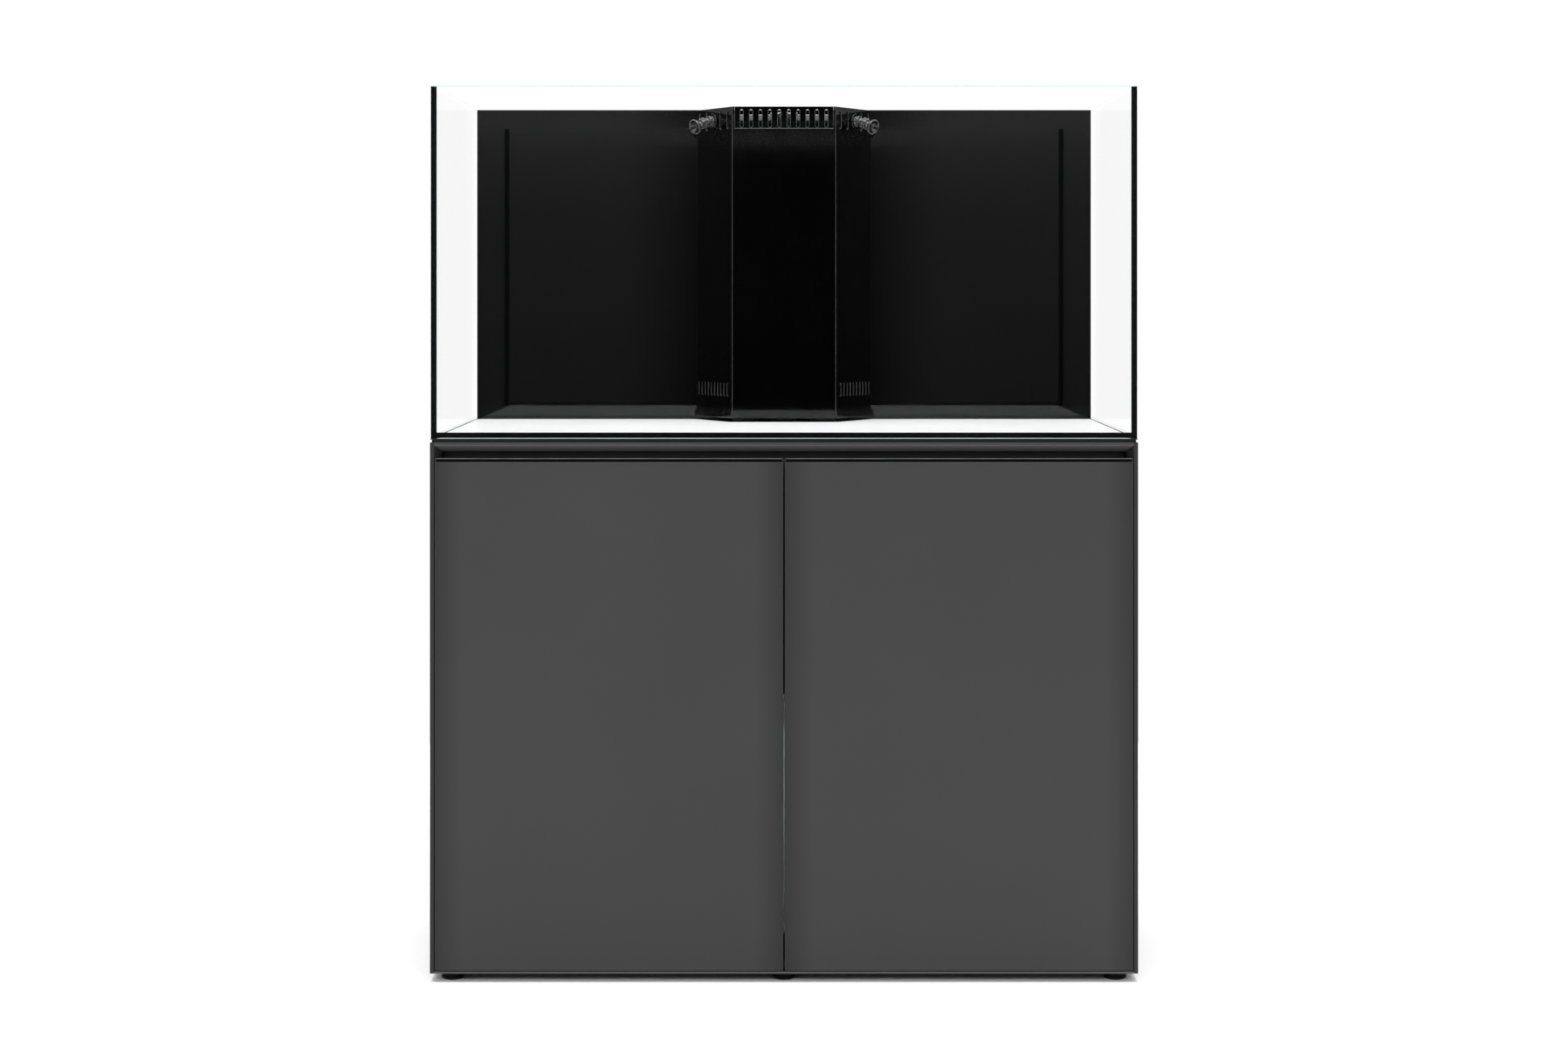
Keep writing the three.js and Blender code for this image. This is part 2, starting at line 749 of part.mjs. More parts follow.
function place(solid, origin, direction) {
  const turn = new THREE.Quaternion().setFromUnitVectors(new THREE.Vector3(0, 0, 1), direction);
  const matrix = new THREE.Matrix4().compose(origin, turn, new THREE.Vector3(1, 1, 1));
  return solid.transform(matrix.elements);
}

// Everything along +Z from the wall's outer face at 0.
function socket() {
  const mouth = cupMouth(firstBallOut);
  const cupBack = firstBallOut - cavityRadius * Math.cos(THREE.MathUtils.degToRad(180 - cavityBackAngle));
  return turned([
    [socketStub.bore, -weirWall - socketStub.length],
    [socketStub.radius, -weirWall - socketStub.length],
    [socketStub.radius, touch],
    [socketFlange.radius, touch],
    [socketFlange.radius, touch + socketFlange.thickness],
    [cupOuterRadius, touch + socketFlange.thickness],
    [cupOuterRadius, mouth[0][1] - cupRimLand],
    ...mouth,
    [waterBore, cupBack - cupRimLand],
    [waterBore, -weirWall],
    [socketStub.bore, -weirWall - socketStub.taper],
    [socketStub.bore, -weirWall - socketStub.length],
  ]);
}

// Along +Z from its own ball centre at 0 to the cup that holds the nozzle's ball.
function swivel() {
  const mouth = cupMouth(ballPitch);
  const shoulderZ = ballPitch - cavityRadius - shoulder.back;
  return turned([
    [waterBore, ballBack],
    ...arc(ballRadius, 0, flatBackAngle, neckAngle, 5),
    [neckRadius, shoulderZ],
    [cupOuterRadius - shoulder.inset, shoulderZ + shoulder.chamfer],
    [cupOuterRadius, shoulderZ + shoulder.rise],
    [cupOuterRadius, mouth[0][1] - cupRimLand],
    ...mouth,
    [waterBore, ballPitch - cavityRadius - past],
    [waterBore, ballBack],
  ]);
}

function nozzle() {
  return turned([
    [waterBore, ballBack],
    ...arc(ballRadius, 0, flatBackAngle, neckAngle, 5),
    [neckRadius, nozzleBody.start],
    [nozzleBody.radius, nozzleBody.shoulder],
    [nozzleBody.waistRadius, nozzleBody.waist],
    [nozzleRadius - nozzleLip.inset, nozzleLength - nozzleLip.below],
    [nozzleRadius, nozzleLength - nozzleLip.edge],
    [nozzleRadius - nozzleLip.chamfer, nozzleLength],
    [nozzleBore, nozzleLength],
    [nozzleThroat.radius, nozzleLength - nozzleThroat.depth],
    [waterBore, nozzleBody.start],
    [waterBore, ballBack],
  ]);
}

for (const { name, sign } of sides) {
  const { centre, outward } = socketPlace(sign);
  const yaw = THREE.MathUtils.degToRad(nozzleYaw);
  const dip = THREE.MathUtils.degToRad(nozzleDip);
  const level = Math.cos(dip);
  const aim = new THREE.Vector3(sign * Math.sin(yaw) * level, -Math.cos(yaw) * level, -Math.sin(dip));
  const firstBall = centre.clone().add(outward.clone().multiplyScalar(firstBallOut));
  const secondBall = firstBall.clone().add(aim.clone().multiplyScalar(ballPitch));
  plumbing.add(toMesh(`${name}_return_socket`, moulding(), place(socket(), centre, outward)));
  plumbing.add(toMesh(`${name}_return_swivel`, moulding(), place(swivel(), firstBall, aim)));
  plumbing.add(toMesh(`${name}_return_nozzle`, moulding(), place(nozzle(), secondBall, aim)));
}

// ---------- pipes inside the weir box ----------
const flangeTop = tankFloor + touch + bulkhead.flangeHeight;
const tailBottom = topPanelBottom - bulkhead.tailBelowTop;

function bulkheadFitting([x, y], bore) {
  const nutTop = tankBase - touch;
  return upright(bulkhead.flange, tankFloor + touch, flangeTop, x, y)
    .add(upright(bulkhead.tail, tailBottom, tankFloor + past, x, y))
    .add(upright(bulkhead.nut, nutTop - bulkhead.nutHeight, nutTop, x, y, 6))
    .subtract(upright(bore, tailBottom - past, flangeTop + past, x, y));
}

const fittings = [
  { name: "main_drain_bulkhead", at: pipePlaces[0], radius: drainPipeRadius },
  { name: "return_bulkhead", at: pipePlaces[1], radius: returnPipeRadius },
  { name: "emergency_drain_bulkhead", at: pipePlaces[2], radius: drainPipeRadius },
];
fittings.forEach(({ name, at, radius }) => {
  plumbing.add(toMesh(name, greyFitting(), bulkheadFitting(at, radius - pipeWall)));
});

function standpipe([x, y], top, notches) {
  let tube = pipe([[x, y, flangeTop + touch], [x, y, top]], drainPipeRadius, pipeWall);
  for (let i = 0; i < notches; i += 1) {
    const cut = slotCutter(strainerSlot.width, strainerSlot.height, 2 * (drainPipeRadius + past));
    cut.rotateZ((Math.PI * i) / notches);
    cut.translate(x, y, top);
    tube = tube.subtract(toSolid(cut));
  }
  return tube;
}
const mainPipe = standpipe(pipePlaces[0], rim - mainPipeTop, strainerSlot.count);
const emergencyStandpipe = standpipe(pipePlaces[2], rim - emergencyPipeTop, 0);
plumbing.add(toMesh("main_standpipe", pipePlastic(), mainPipe));
plumbing.add(toMesh("emergency_standpipe", pipePlastic(), emergencyStandpipe));

// The riser tees off to both sides, and a collar at each end slides over a socket's stub.
function returnRiser() {
  const start = [0, riserY, flangeTop + touch];
  const tee = [0, riserY, socketZ];
  let outside = bar(start, tee, returnPipeRadius).add(ball(returnPipeRadius, tee));
  let hollow = bar([start[0], start[1], start[2] - past], tee, returnPipeRadius - pipeWall);
  for (const { sign } of sides) {
    const { centre, outward } = socketPlace(sign);
    const along = (distance) => centre.clone().add(outward.clone().multiplyScalar(-weirWall - distance));
    const mouth = along(socketStub.length - collar.length + collar.elbowOut);
    const elbow = along(socketStub.length + collar.elbowOut);
    const stop = along(socketStub.length + touch);
    outside = outside
      .add(bar(mouth.toArray(), elbow.toArray(), collar.radius))
      .add(ball(collar.radius, elbow.toArray()))
      .add(bar(elbow.toArray(), tee, returnPipeRadius));
    const stubRadius = socketStub.radius + socketStub.room;
    const stubRoom = bar(along(0).toArray(), stop.toArray(), stubRadius);
    hollow = hollow
      .add(stubRoom)
      .add(bar(stop.toArray(), elbow.toArray(), socketStub.bore))
      .add(ball(returnPipeRadius - pipeWall, elbow.toArray()))
      .add(bar(elbow.toArray(), tee, returnPipeRadius - pipeWall));
  }
  return outside.subtract(hollow);
}
plumbing.add(toMesh("return_riser", pipePlastic(), returnRiser()));

// ---------- pipes in the cabinet ----------
const pipeStart = tailBottom - touch;
const sumpBottom = bottomPanelTop + touch;
const sumpTop = sumpBottom + sump.height;
const holderTop = sumpTop + touch + cupHolder.thickness;
const pumpBottom = sumpBottom + sump.wall + touch;
const pumpOutlet = pumpBottom + pump.height + pump.outlet;
const valveZ = pipeStart - valve.belowStart;

function drainPipe() {
  const [x, y] = pipePlaces[0];
  const tube = pipe(
    [
      [x, y, pipeStart],
      [x, y, pipeStart - drainStraight],
      [filterCupX, filterCupY, sumpTop + drainElbow],
      [filterCupX, filterCupY, sumpTop - drainOutletDrop],
    ],
    drainPipeRadius,
    pipeWall,
  );
  const z0 = valveZ - valve.height / 2;
  const z1 = valveZ + valve.height / 2;
  const bore = drainPipeRadius - pipeWall;
  const stemFront = y - valve.radius - valve.stemLength;
  return tube
    .add(upright(valve.radius, z0, z1, x, y))
    .add(bar([x, stemFront, valveZ], [x, y, valveZ], valve.stem))
    .subtract(upright(bore, z0 - 1, z1 + 1, x, y));
}

function valveLever() {
  const [x, y] = pipePlaces[0];
  const y1 = y - valve.radius - valve.stemLength - touch;
  const y0 = y1 - lever.thickness;
  const half = lever.width / 2;
  const tipZ = valveZ + lever.length - half;
  return bar([x, y0 - lever.hubProud, valveZ], [x, y1, valveZ], half + lever.hubOver)
    .add(block(x - half, x + half, y0, y1, valveZ, tipZ))
    .add(bar([x, y0, tipZ], [x, y1, tipZ], half));
}

function emergencyPipe() {
  const [x, y] = pipePlaces[2];
  const outletX = sumpRight - emergencyOutlet.fromRight;
  const outletY = sumpBack - emergencyOutlet.fromBack;
  return pipe(
    [
      [x, y, pipeStart],
      [x, y, sumpTop + upperEmergencyElbow],
      [outletX, outletY, sumpTop + lowerElbow],
      [outletX, outletY, sumpTop + emergencyOutlet.aboveSump],
    ],
    drainPipeRadius,
    pipeWall,
  );
}

function returnPipe() {
  const [x, y] = pipePlaces[1];
  return pipe(
    [
      [x, y, pipeStart],
      [x, y, sumpTop + upperReturnElbow],
      [pumpX, pumpY, sumpTop + lowerElbow],
      [pumpX, pumpY, pumpOutlet + touch],
    ],
    returnPipeRadius,
    pipeWall,
  );
}

plumbing.add(toMesh("main_drain_pipe", pipePlastic(), drainPipe()));
plumbing.add(toMesh("drain_valve_lever", redPlastic(), valveLever()));
plumbing.add(toMesh("emergency_drain_pipe", pipePlastic(), emergencyPipe()));
plumbing.add(toMesh("return_pipe", pipePlastic(), returnPipe()));

// ---------- the sump ----------
function sumpTank() {
  const { wall } = sump;
  const room = [sumpLeft + wall, sumpRight - wall, sumpFront + wall, sumpBack - wall];
  return block(sumpLeft, sumpRight, sumpFront, sumpBack, sumpBottom, sumpTop).subtract(
    block(...room, sumpBottom + wall, sumpTop + past),
  );
}

function baffleAt(fromLeft) {
  const x = sumpLeft + fromLeft;
  const y = sumpBack - sump.wall - touch;
  const z = sumpBottom + sump.wall + touch;
  return block(x, x + baffle.thickness, -y, y, z, z + baffle.height);
}

function cupHolderPlate() {
  const hole = filterCup.radius + runningGap;
  const right = sumpLeft + cupHolder.length;
  return block(sumpLeft, right, sumpFront, sumpBack, sumpTop + touch, holderTop).subtract(
    upright(hole, sumpTop - past, holderTop + past, filterCupX, filterCupY, fineSides),
  );
}

function filterCupShell() {
  const { radius, wall, depth, rim: rimRadius, rimHeight } = filterCup;
  const rimBottom = holderTop + touch;
  const rimTop = rimBottom + rimHeight;
  const bottom = rimBottom - depth;
  const shell = [
    [0, bottom],
    [radius, bottom],
    [radius, rimBottom],
    [rimRadius, rimBottom],
    [rimRadius, rimTop],
    [radius - wall, rimTop],
    [radius - wall, bottom + wall],
    [0, bottom + wall],
  ];
  let cup = turned(shell, fineSides);
  for (let i = 0; i < cupWindow.count; i += 1) {
    const cut = slotCutter(cupWindow.width, depth - cupWindow.plain, 2 * radius);
    cut.translate(0, -radius, bottom + depth / 2 - cupWindow.drop);
    cut.rotateZ((2 * Math.PI * i) / cupWindow.count);
    cup = cup.subtract(toSolid(cut));
  }
  return cup.translate([filterCupX, filterCupY, 0]);
}

function returnPump() {
  const { width, depth, height } = pump;
  const x = pumpX;
  const y = pumpY;
  const top = pumpBottom + height;
  const inletZ = pumpBottom + height / 2;
  const casing = block(x - width / 2, x + width / 2, y - depth / 2, y + depth / 2, pumpBottom, top);
  return casing
    .add(upright(returnPipeRadius, top - past, pumpOutlet, x, y))
    .add(bar([x, y - depth / 2 - pumpInlet.length, inletZ], [x, y, inletZ], pumpInlet.radius))
    .subtract(upright(returnPipeRadius - pipeWall, top - pump.bore, pumpOutlet + past, x, y));
}

plumbing.add(toMesh("sump_tank", clearGlass(), sumpTank()));
plumbing.add(toMesh("sump_inlet_baffle", clearGlass(), baffleAt(baffle.first)));
plumbing.add(toMesh("sump_pump_baffle", clearGlass(), baffleAt(baffle.second)));
plumbing.add(toMesh("filter_cup_holder", glossPlastic(), cupHolderPlate()));
plumbing.add(toMesh("filter_cup", glossPlastic(), filterCupShell()));
plumbing.add(toMesh("return_pump", moulding(), returnPump()));

export default object;
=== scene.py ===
"""A rimless glass aquarium with a weir box on a two-door cabinet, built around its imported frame."""

import json
import math

import bmesh
import bpy
from mathutils import Matrix, Vector


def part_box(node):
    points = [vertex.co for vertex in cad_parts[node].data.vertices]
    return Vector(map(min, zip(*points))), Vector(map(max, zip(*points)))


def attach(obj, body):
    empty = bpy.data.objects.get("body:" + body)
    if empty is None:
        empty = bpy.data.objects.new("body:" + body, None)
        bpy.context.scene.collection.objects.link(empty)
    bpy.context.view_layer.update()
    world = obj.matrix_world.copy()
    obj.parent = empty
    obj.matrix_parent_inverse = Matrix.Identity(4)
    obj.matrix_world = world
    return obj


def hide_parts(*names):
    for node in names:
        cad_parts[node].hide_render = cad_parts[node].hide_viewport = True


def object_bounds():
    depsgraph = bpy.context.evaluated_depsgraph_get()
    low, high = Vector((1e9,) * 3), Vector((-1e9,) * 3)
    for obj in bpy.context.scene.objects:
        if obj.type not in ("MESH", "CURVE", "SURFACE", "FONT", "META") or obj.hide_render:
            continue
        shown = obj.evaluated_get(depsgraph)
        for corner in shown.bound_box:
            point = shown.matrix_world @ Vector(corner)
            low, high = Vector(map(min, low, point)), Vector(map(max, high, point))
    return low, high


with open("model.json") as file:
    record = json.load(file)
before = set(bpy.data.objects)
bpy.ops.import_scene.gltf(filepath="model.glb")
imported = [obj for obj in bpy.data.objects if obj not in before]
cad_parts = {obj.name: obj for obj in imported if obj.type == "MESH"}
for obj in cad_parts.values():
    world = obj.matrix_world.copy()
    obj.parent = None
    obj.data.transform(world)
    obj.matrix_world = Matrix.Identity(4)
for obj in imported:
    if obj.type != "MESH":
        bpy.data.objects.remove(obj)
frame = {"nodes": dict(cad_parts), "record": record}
cad_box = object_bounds()

MM = 0.001
UP = Vector((0, 0, 1))
ROOT = "stand_and_tank"
SIDES = (("left", -1), ("right", 1))
joint_of = {joint["name"]: joint for joint in frame["record"]["behaviour"]["joints"]}

# ---------- sizes of the finer parts, in millimetres ----------
BOARD_ARRIS = 0.7
GLASS_ARRIS = 1.2
ACRYLIC_ARRIS = 0.5
FLOOR_LINE = (1.1, 2.8)  # the pale line of the floor's edge between its two seams, over the tank's underside
WHITE_SHEET = 5.7
ROUND_STEPS = 64
SMALL_STEPS = 40

WEIR_WALL = 5
WEIR_FRONT = 195  # outer width of its front wall
COMB_CORNER = 4.5
COMB_SLOT = {"count": 10, "pitch": 17.7, "width": 6, "height": 33.7, "above": 1.8}
SIDE_SLOT = {"count": 5, "width": 6, "height": 33.7, "first": 0.095, "last": 0.876}
SIDE_SLOT_BELOW = 7.3
GRATE_SLOT = {"count": 10, "width": 4.6, "height": 23.5, "first": 0.078, "last": 0.876}
GRATE_ABOVE = 41.5
SOCKET_SHARE = 0.486
SOCKET_HOLE = 11.8
BALL_OUT = 13

SERVICE_OPENING = {"width": 220, "height": 140, "corner": 20, "aside": 425, "middle": 770}
HINGE_PLATE = 5.7
HINGE_ARM = 13.5
FITTING_HOLE = 36  # radius, in the cabinet top and the mat

PIPE_WALL = 2.5
DRAIN_BEND = 26
RETURN_BEND = 22
DRAIN_RADIUS = 20
RETURN_RADIUS = 14
ELBOW_WALL = 3.2
ELBOW_REACH = 17


# ---------- scene: camera, light, floor ----------
def make_camera():
    data = bpy.data.cameras.new("camera")
    data.sensor_width = 36
    data.lens = 59.1
    data.shift_y = -0.1489
    camera = bpy.data.objects.new("camera", data)
    camera.location = (0, -4.66, 1.175)
    camera.rotation_euler = (math.radians(90), 0, 0)
    bpy.context.scene.collection.objects.link(camera)
    bpy.context.scene.camera = camera


def softbox(name, place, target, width, height, power):
    data = bpy.data.lights.new(name, "AREA")
    data.shape = "RECTANGLE"
    data.size = width
    data.size_y = height
    data.energy = power
    lamp = bpy.data.objects.new(name, data)
    lamp.location = place
    lamp.rotation_euler = (Vector(target) - Vector(place)).to_track_quat("-Z", "Y").to_euler()
    bpy.context.scene.collection.objects.link(lamp)


def reckoned(tree, operation, *values):
    """A Math node. Numbers are set on its inputs, and other nodes' outputs are joined to them."""
    made = tree.nodes.new("ShaderNodeMath")
    made.operation = operation
    for socket, value in zip(made.inputs, values):
        if isinstance(value, (int, float)):
            socket.default_value = value
        else:
            tree.links.new(value, socket)
    return made.outputs[0]


def make_world():
    """White to the eye. To everything else a dim grey room, brighter overhead.

    Towards the front there is a narrow dark screen with a lit band across it, and one bright glint.
    """
    world = bpy.data.worlds.new("studio")
    bpy.context.scene.world = world
    world.use_nodes = True
    tree = world.node_tree
    tree.nodes.clear()
    place = tree.nodes.new("ShaderNodeTexCoord")
    split = tree.nodes.new("ShaderNodeSeparateXYZ")
    tree.links.new(place.outputs["Generated"], split.inputs[0])
    along, up = split.outputs["Y"], split.outputs["Z"]
    height = node(tree, "ShaderNodeMapRange", From_Min=-0.1, From_Max=0.9)
    tree.links.new(up, height.inputs["Value"])
    ramp = tree.nodes.new("ShaderNodeValToRGB")
    tree.links.new(height.outputs[0], ramp.inputs["Fac"])
    first, last = ramp.color_ramp.elements
    first.position, first.color = 0.05, (0.13, 0.13, 0.13, 1)
    last.position, last.color = 1.0, (0.9, 0.9, 0.9, 1)
    for at, grey in ((0.13, 0.22), (0.157, 0.36), (0.163, 0.52), (0.19, 0.3), (0.3, 0.34)):
        stop = ramp.color_ramp.elements.new(at)
        stop.color = (grey, grey, grey, 1)
    aside = reckoned(tree, "ABSOLUTE", split.outputs["X"])
    screen = node(tree, "ShaderNodeMapRange", From_Min=0.022, From_Max=0.06)
    tree.links.new(aside, screen.inputs["Value"])
    to_back = reckoned(tree, "GREATER_THAN", along, 0.0)
    band = reckoned(tree, "COMPARE", up, 0.0585, 0.003)
    over_screen = reckoned(tree, "MAXIMUM", screen.outputs[0], band)
    lit = reckoned(tree, "MAXIMUM", over_screen, to_back)
    strength = reckoned(tree, "MULTIPLY", ramp.outputs["Color"], lit)
    glint = reckoned(tree, "COMPARE", up, 0.5, 0.04)
    narrow = reckoned(tree, "LESS_THAN", aside, 0.4)
    to_front = reckoned(tree, "SUBTRACT", 1.0, to_back)
    glint = reckoned(tree, "MULTIPLY", reckoned(tree, "MULTIPLY", glint, narrow), to_front)
    room = node(tree, "ShaderNodeBackground", Color=(1, 1, 1, 1))
    tree.links.new(reckoned(tree, "MULTIPLY_ADD", glint, 7.0, strength), room.inputs["Strength"])
    white = node(tree, "ShaderNodeBackground", Color=(1, 1, 1, 1), Strength=1.05)
    path = tree.nodes.new("ShaderNodeLightPath")
    mix = tree.nodes.new("ShaderNodeMixShader")
    out = tree.nodes.new("ShaderNodeOutputWorld")
    tree.links.new(path.outputs["Is Camera Ray"], mix.inputs[0])
    tree.links.new(room.outputs[0], mix.inputs[1])
    tree.links.new(white.outputs[0], mix.inputs[2])
    tree.links.new(mix.outputs[0], out.inputs["Surface"])


def make_floor():
    """A white sheet that glows a little more further out, and not at all under the cabinet: painted light, with
    a painted shadow under the cabinet.
    """
    sheet = bmesh.new()
    bmesh.ops.create_grid(sheet, x_segments=1, y_segments=1, size=1)
    bmesh.ops.scale(sheet, verts=sheet.verts, vec=(12, 4.5, 1))
    bmesh.ops.translate(sheet, verts=sheet.verts, vec=(0, -2.5, 0))
    mesh = bpy.data.meshes.new("studio_floor")
    sheet.to_mesh(mesh)
    sheet.free()
    floor = bpy.data.objects.new("studio_floor", mesh)
    bpy.context.scene.collection.objects.link(floor)
    material = bpy.data.materials.new("floor_paper")
    material.use_nodes = True
    shader = material.node_tree.nodes["Principled BSDF"]
    shader.inputs["Base Color"].default_value = (0.9, 0.9, 0.9, 1)
    shader.inputs["Roughness"].default_value = 1
    shader.inputs["Specular IOR Level"].default_value = 0
    shader.inputs["Emission Color"].default_value = (1, 1, 1, 1)
    tree = material.node_tree
    place = tree.nodes.new("ShaderNodeTexCoord")
    away = tree.nodes.new("ShaderNodeVectorMath")
    away.operation = "LENGTH"
    glow = node(tree, "ShaderNodeMapRange", From_Min=0.9, From_Max=3.2, To_Min=0.2, To_Max=0.75)
    tree.links.new(place.outputs["Object"], away.inputs[0])
    tree.links.new(away.outputs["Value"], glow.inputs["Value"])
    split = tree.nodes.new("ShaderNodeSeparateXYZ")
    tree.links.new(place.outputs["Object"], split.inputs[0])
    # Painted shadow: no glow inside the cabinet's plan.
    outside = []
    for axis, half in (("X", cad_box[1].x), ("Y", cad_box[1].y)):
        reach = reckoned(tree, "ABSOLUTE", split.outputs[axis])
        outside.append(reckoned(tree, "GREATER_THAN", reach, half))
    clear = reckoned(tree, "MAXIMUM", *outside)
    lit = reckoned(tree, "MULTIPLY", clear, glow.outputs["Result"])
    tree.links.new(lit, shader.inputs["Emission Strength"])
    mesh.materials.append(material)


def light_the_set():
    softbox("overhead", (0, -0.9, 4.2), (0, 0, 0.8), 4.5, 3.5, 120)
    softbox("front_left", (-3.4, -4.2, 2.9), (0, 0, 0.6), 2.4, 2.4, 48)
    softbox("front_right", (3.4, -4.2, 2.9), (0, 0, 0.6), 2.4, 2.4, 48)
    softbox("behind", (0, 3.8, 3.2), (0, 0, 0.8), 3.5, 2.0, 60)
    bpy.context.scene.view_settings.view_transform = "Standard"


# ---------- finishes ----------
def new_finish(name, roughness, metallic=0.0, specular=0.5, coat=0.0):
    material = bpy.data.materials.new(name)
    material.use_nodes = True
    tree = material.node_tree
    shader = tree.nodes["Principled BSDF"]
    shader.inputs["Roughness"].default_value = roughness
    shader.inputs["Metallic"].default_value = metallic
    shader.inputs["Specular IOR Level"].default_value = specular
    shader.inputs["Coat Weight"].default_value = coat
    return material, tree, shader


def node(tree, kind, **values):
    made = tree.nodes.new(kind)
    for key, value in values.items():
        made.inputs[key.replace("_", " ")].default_value = value
    return made


def over_piece(tree, stretch=(1, 1, 1)):
    """Object coordinates in metres, stretched along the axes."""
    place = tree.nodes.new("ShaderNodeTexCoord")
    mapping = node(tree, "ShaderNodeMapping", Scale=stretch)
    tree.links.new(place.outputs["Object"], mapping.inputs["Vector"])
    return mapping.outputs["Vector"]


def noise(tree, place, scale, detail=3.0, roughness=0.5):
    made = node(tree, "ShaderNodeTexNoise", Scale=scale, Detail=detail, Roughness=roughness)
    tree.links.new(place, made.inputs["Vector"])
    return made.outputs["Fac"]


def cells(tree, place, scale):
    made = node(tree, "ShaderNodeTexVoronoi", Scale=scale)
    tree.links.new(place, made.inputs["Vector"])
    return made.outputs["Distance"]


def between(tree, value, low, high, start=0.3, end=0.7):
    made = node(tree, "ShaderNodeMapRange", From_Min=start, From_Max=end, To_Min=low, To_Max=high)
    tree.links.new(value, made.inputs["Value"])
    return made.outputs["Result"]


def tones(tree, value, dark, light, start=0.3, end=0.7):
    ramp = tree.nodes.new("ShaderNodeValToRGB")
    ramp.color_ramp.elements[0].position = start
    ramp.color_ramp.elements[0].color = (*dark, 1)
    ramp.color_ramp.elements[1].position = end
    ramp.color_ramp.elements[1].color = (*light, 1)
    tree.links.new(value, ramp.inputs["Fac"])
    return ramp.outputs["Color"]


def blend(tree, share, first, second):
    made = tree.nodes.new("ShaderNodeMix")
    made.data_type = "RGBA"
    made.inputs["Factor"].default_value = share
    tree.links.new(first, made.inputs[6])
    tree.links.new(second, made.inputs[7])
    return made.outputs[2]


def relief(tree, shader, height, strength, depth):
    bump = node(tree, "ShaderNodeBump", Strength=strength, Distance=depth)
    tree.links.new(height, bump.inputs["Height"])
    tree.links.new(bump.outputs["Normal"], shader.inputs["Normal"])


def board_finish(name, dark, light, roughness, specular=0.42):
    """Pressed board: cloudy tone, short upright flecks and a fine satin grain."""
    material, tree, shader = new_finish(name, roughness, specular=specular)
    cloud = noise(tree, over_piece(tree), 2.3, 4.0)
    fleck = noise(tree, over_piece(tree, (1, 1, 0.16)), 620.0, 3.0, 0.6)
    grain = noise(tree, over_piece(tree), 1400.0, 2.0)
    ground = tones(tree, cloud, dark, light)
    flecks = tones(tree, fleck, dark, light, 0.38, 0.62)
    tree.links.new(blend(tree, 0.35, ground, flecks), shader.inputs["Base Color"])
    tree.links.new(between(tree, fleck, roughness - 0.05, roughness + 0.06), shader.inputs["Roughness"])
    relief(tree, shader, grain, 0.12, 0.2 * MM)
    return material


def door_finish_with_painted_shade(name, dark, light, roughness):
    """A board's finish with painted shade: its colour darkens a little towards the two upright edges of a door.
    """
    material = board_finish(name, dark, light, roughness)
    tree = material.node_tree
    shader = tree.nodes["Principled BSDF"]
    ground = shader.inputs["Base Color"].links[0].from_socket
    split = tree.nodes.new("ShaderNodeSeparateXYZ")
    aside = tree.nodes.new("ShaderNodeMath")
    aside.operation = "ABSOLUTE"
    tree.links.new(over_piece(tree), split.inputs[0])
    tree.links.new(split.outputs["X"], aside.inputs[0])
    low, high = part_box("right_door")
    # Painted shade: the colour falls to a quarter at each upright edge of the door, over 45 mm.
    painted_edge_shade = tree.nodes.new("ShaderNodeMath")
    painted_edge_shade.operation = "MULTIPLY"
    for i, edge in enumerate((low.x, high.x)):
        inwards = 1 - 2 * i
        share = between(tree, aside.outputs[0], 0.25, 1.0, edge, edge + inwards * 45 * MM)
        tree.links.new(share, painted_edge_shade.inputs[i])
    shade = tree.nodes.new("ShaderNodeMix")
    shade.data_type = "RGBA"
    shade.blend_type = "MULTIPLY"
    shade.inputs["Factor"].default_value = 1
    tree.links.new(ground, shade.inputs[6])
    tree.links.new(painted_edge_shade.outputs[0], shade.inputs[7])
    tree.links.new(shade.outputs[2], shader.inputs["Base Color"])
    return material


def moulded_finish(name, dark, light, roughness, grain=900.0, depth=0.15, specular=0.5):
    """Injection-moulded plastic: a slow shift of tone and a fine spark-eroded grain."""
    material, tree, shader = new_finish(name, roughness, specular=specular)
    flow = noise(tree, over_piece(tree), 9.0, 3.0)
    skin = noise(tree, over_piece(tree), grain, 3.0, 0.6)
    tree.links.new(tones(tree, flow, dark, light), shader.inputs["Base Color"])
    tree.links.new(between(tree, skin, roughness - 0.06, roughness + 0.08), shader.inputs["Roughness"])
    relief(tree, shader, skin, 0.15, depth * MM)
    return material


def gloss_finish(name, dark, light, roughness, haze=0.03, specular=0.5):
    """Polished sheet: deep colour with faint wiping marks that only the shine shows."""
    material, tree, shader = new_finish(name, roughness, specular=specular)
    depth = noise(tree, over_piece(tree), 3.0, 2.0)
    wiping = noise(tree, over_piece(tree, (1.0, 1.0, 0.25)), 34.0, 5.0, 0.65)
    tree.links.new(tones(tree, depth, dark, light), shader.inputs["Base Color"])
    tree.links.new(between(tree, wiping, roughness, roughness + haze, 0.45, 0.75), shader.inputs["Roughness"])
    return material


def drawn_finish(name, dark, light, roughness, stretch, metallic=1.0):
    """Metal with fine lines along the way it was drawn or brushed."""
    material, tree, shader = new_finish(name, roughness, metallic=metallic)
    lines = noise(tree, over_piece(tree, stretch), 1500.0, 4.0, 0.6)
    tree.links.new(tones(tree, lines, dark, light), shader.inputs["Base Color"])
    tree.links.new(between(tree, lines, roughness - 0.06, roughness + 0.1), shader.inputs["Roughness"])
    relief(tree, shader, lines, 0.08, 0.05 * MM)
    return material


def foam_finish(name, dark, light):
    material, tree, shader = new_finish(name, 0.92, specular=0.2)
    bubbles = cells(tree, over_piece(tree), 900.0)
    tree.links.new(tones(tree, bubbles, dark, light, 0.05, 0.6), shader.inputs["Base Color"])
    relief(tree, shader, bubbles, 0.5, 0.4 * MM)
    return material


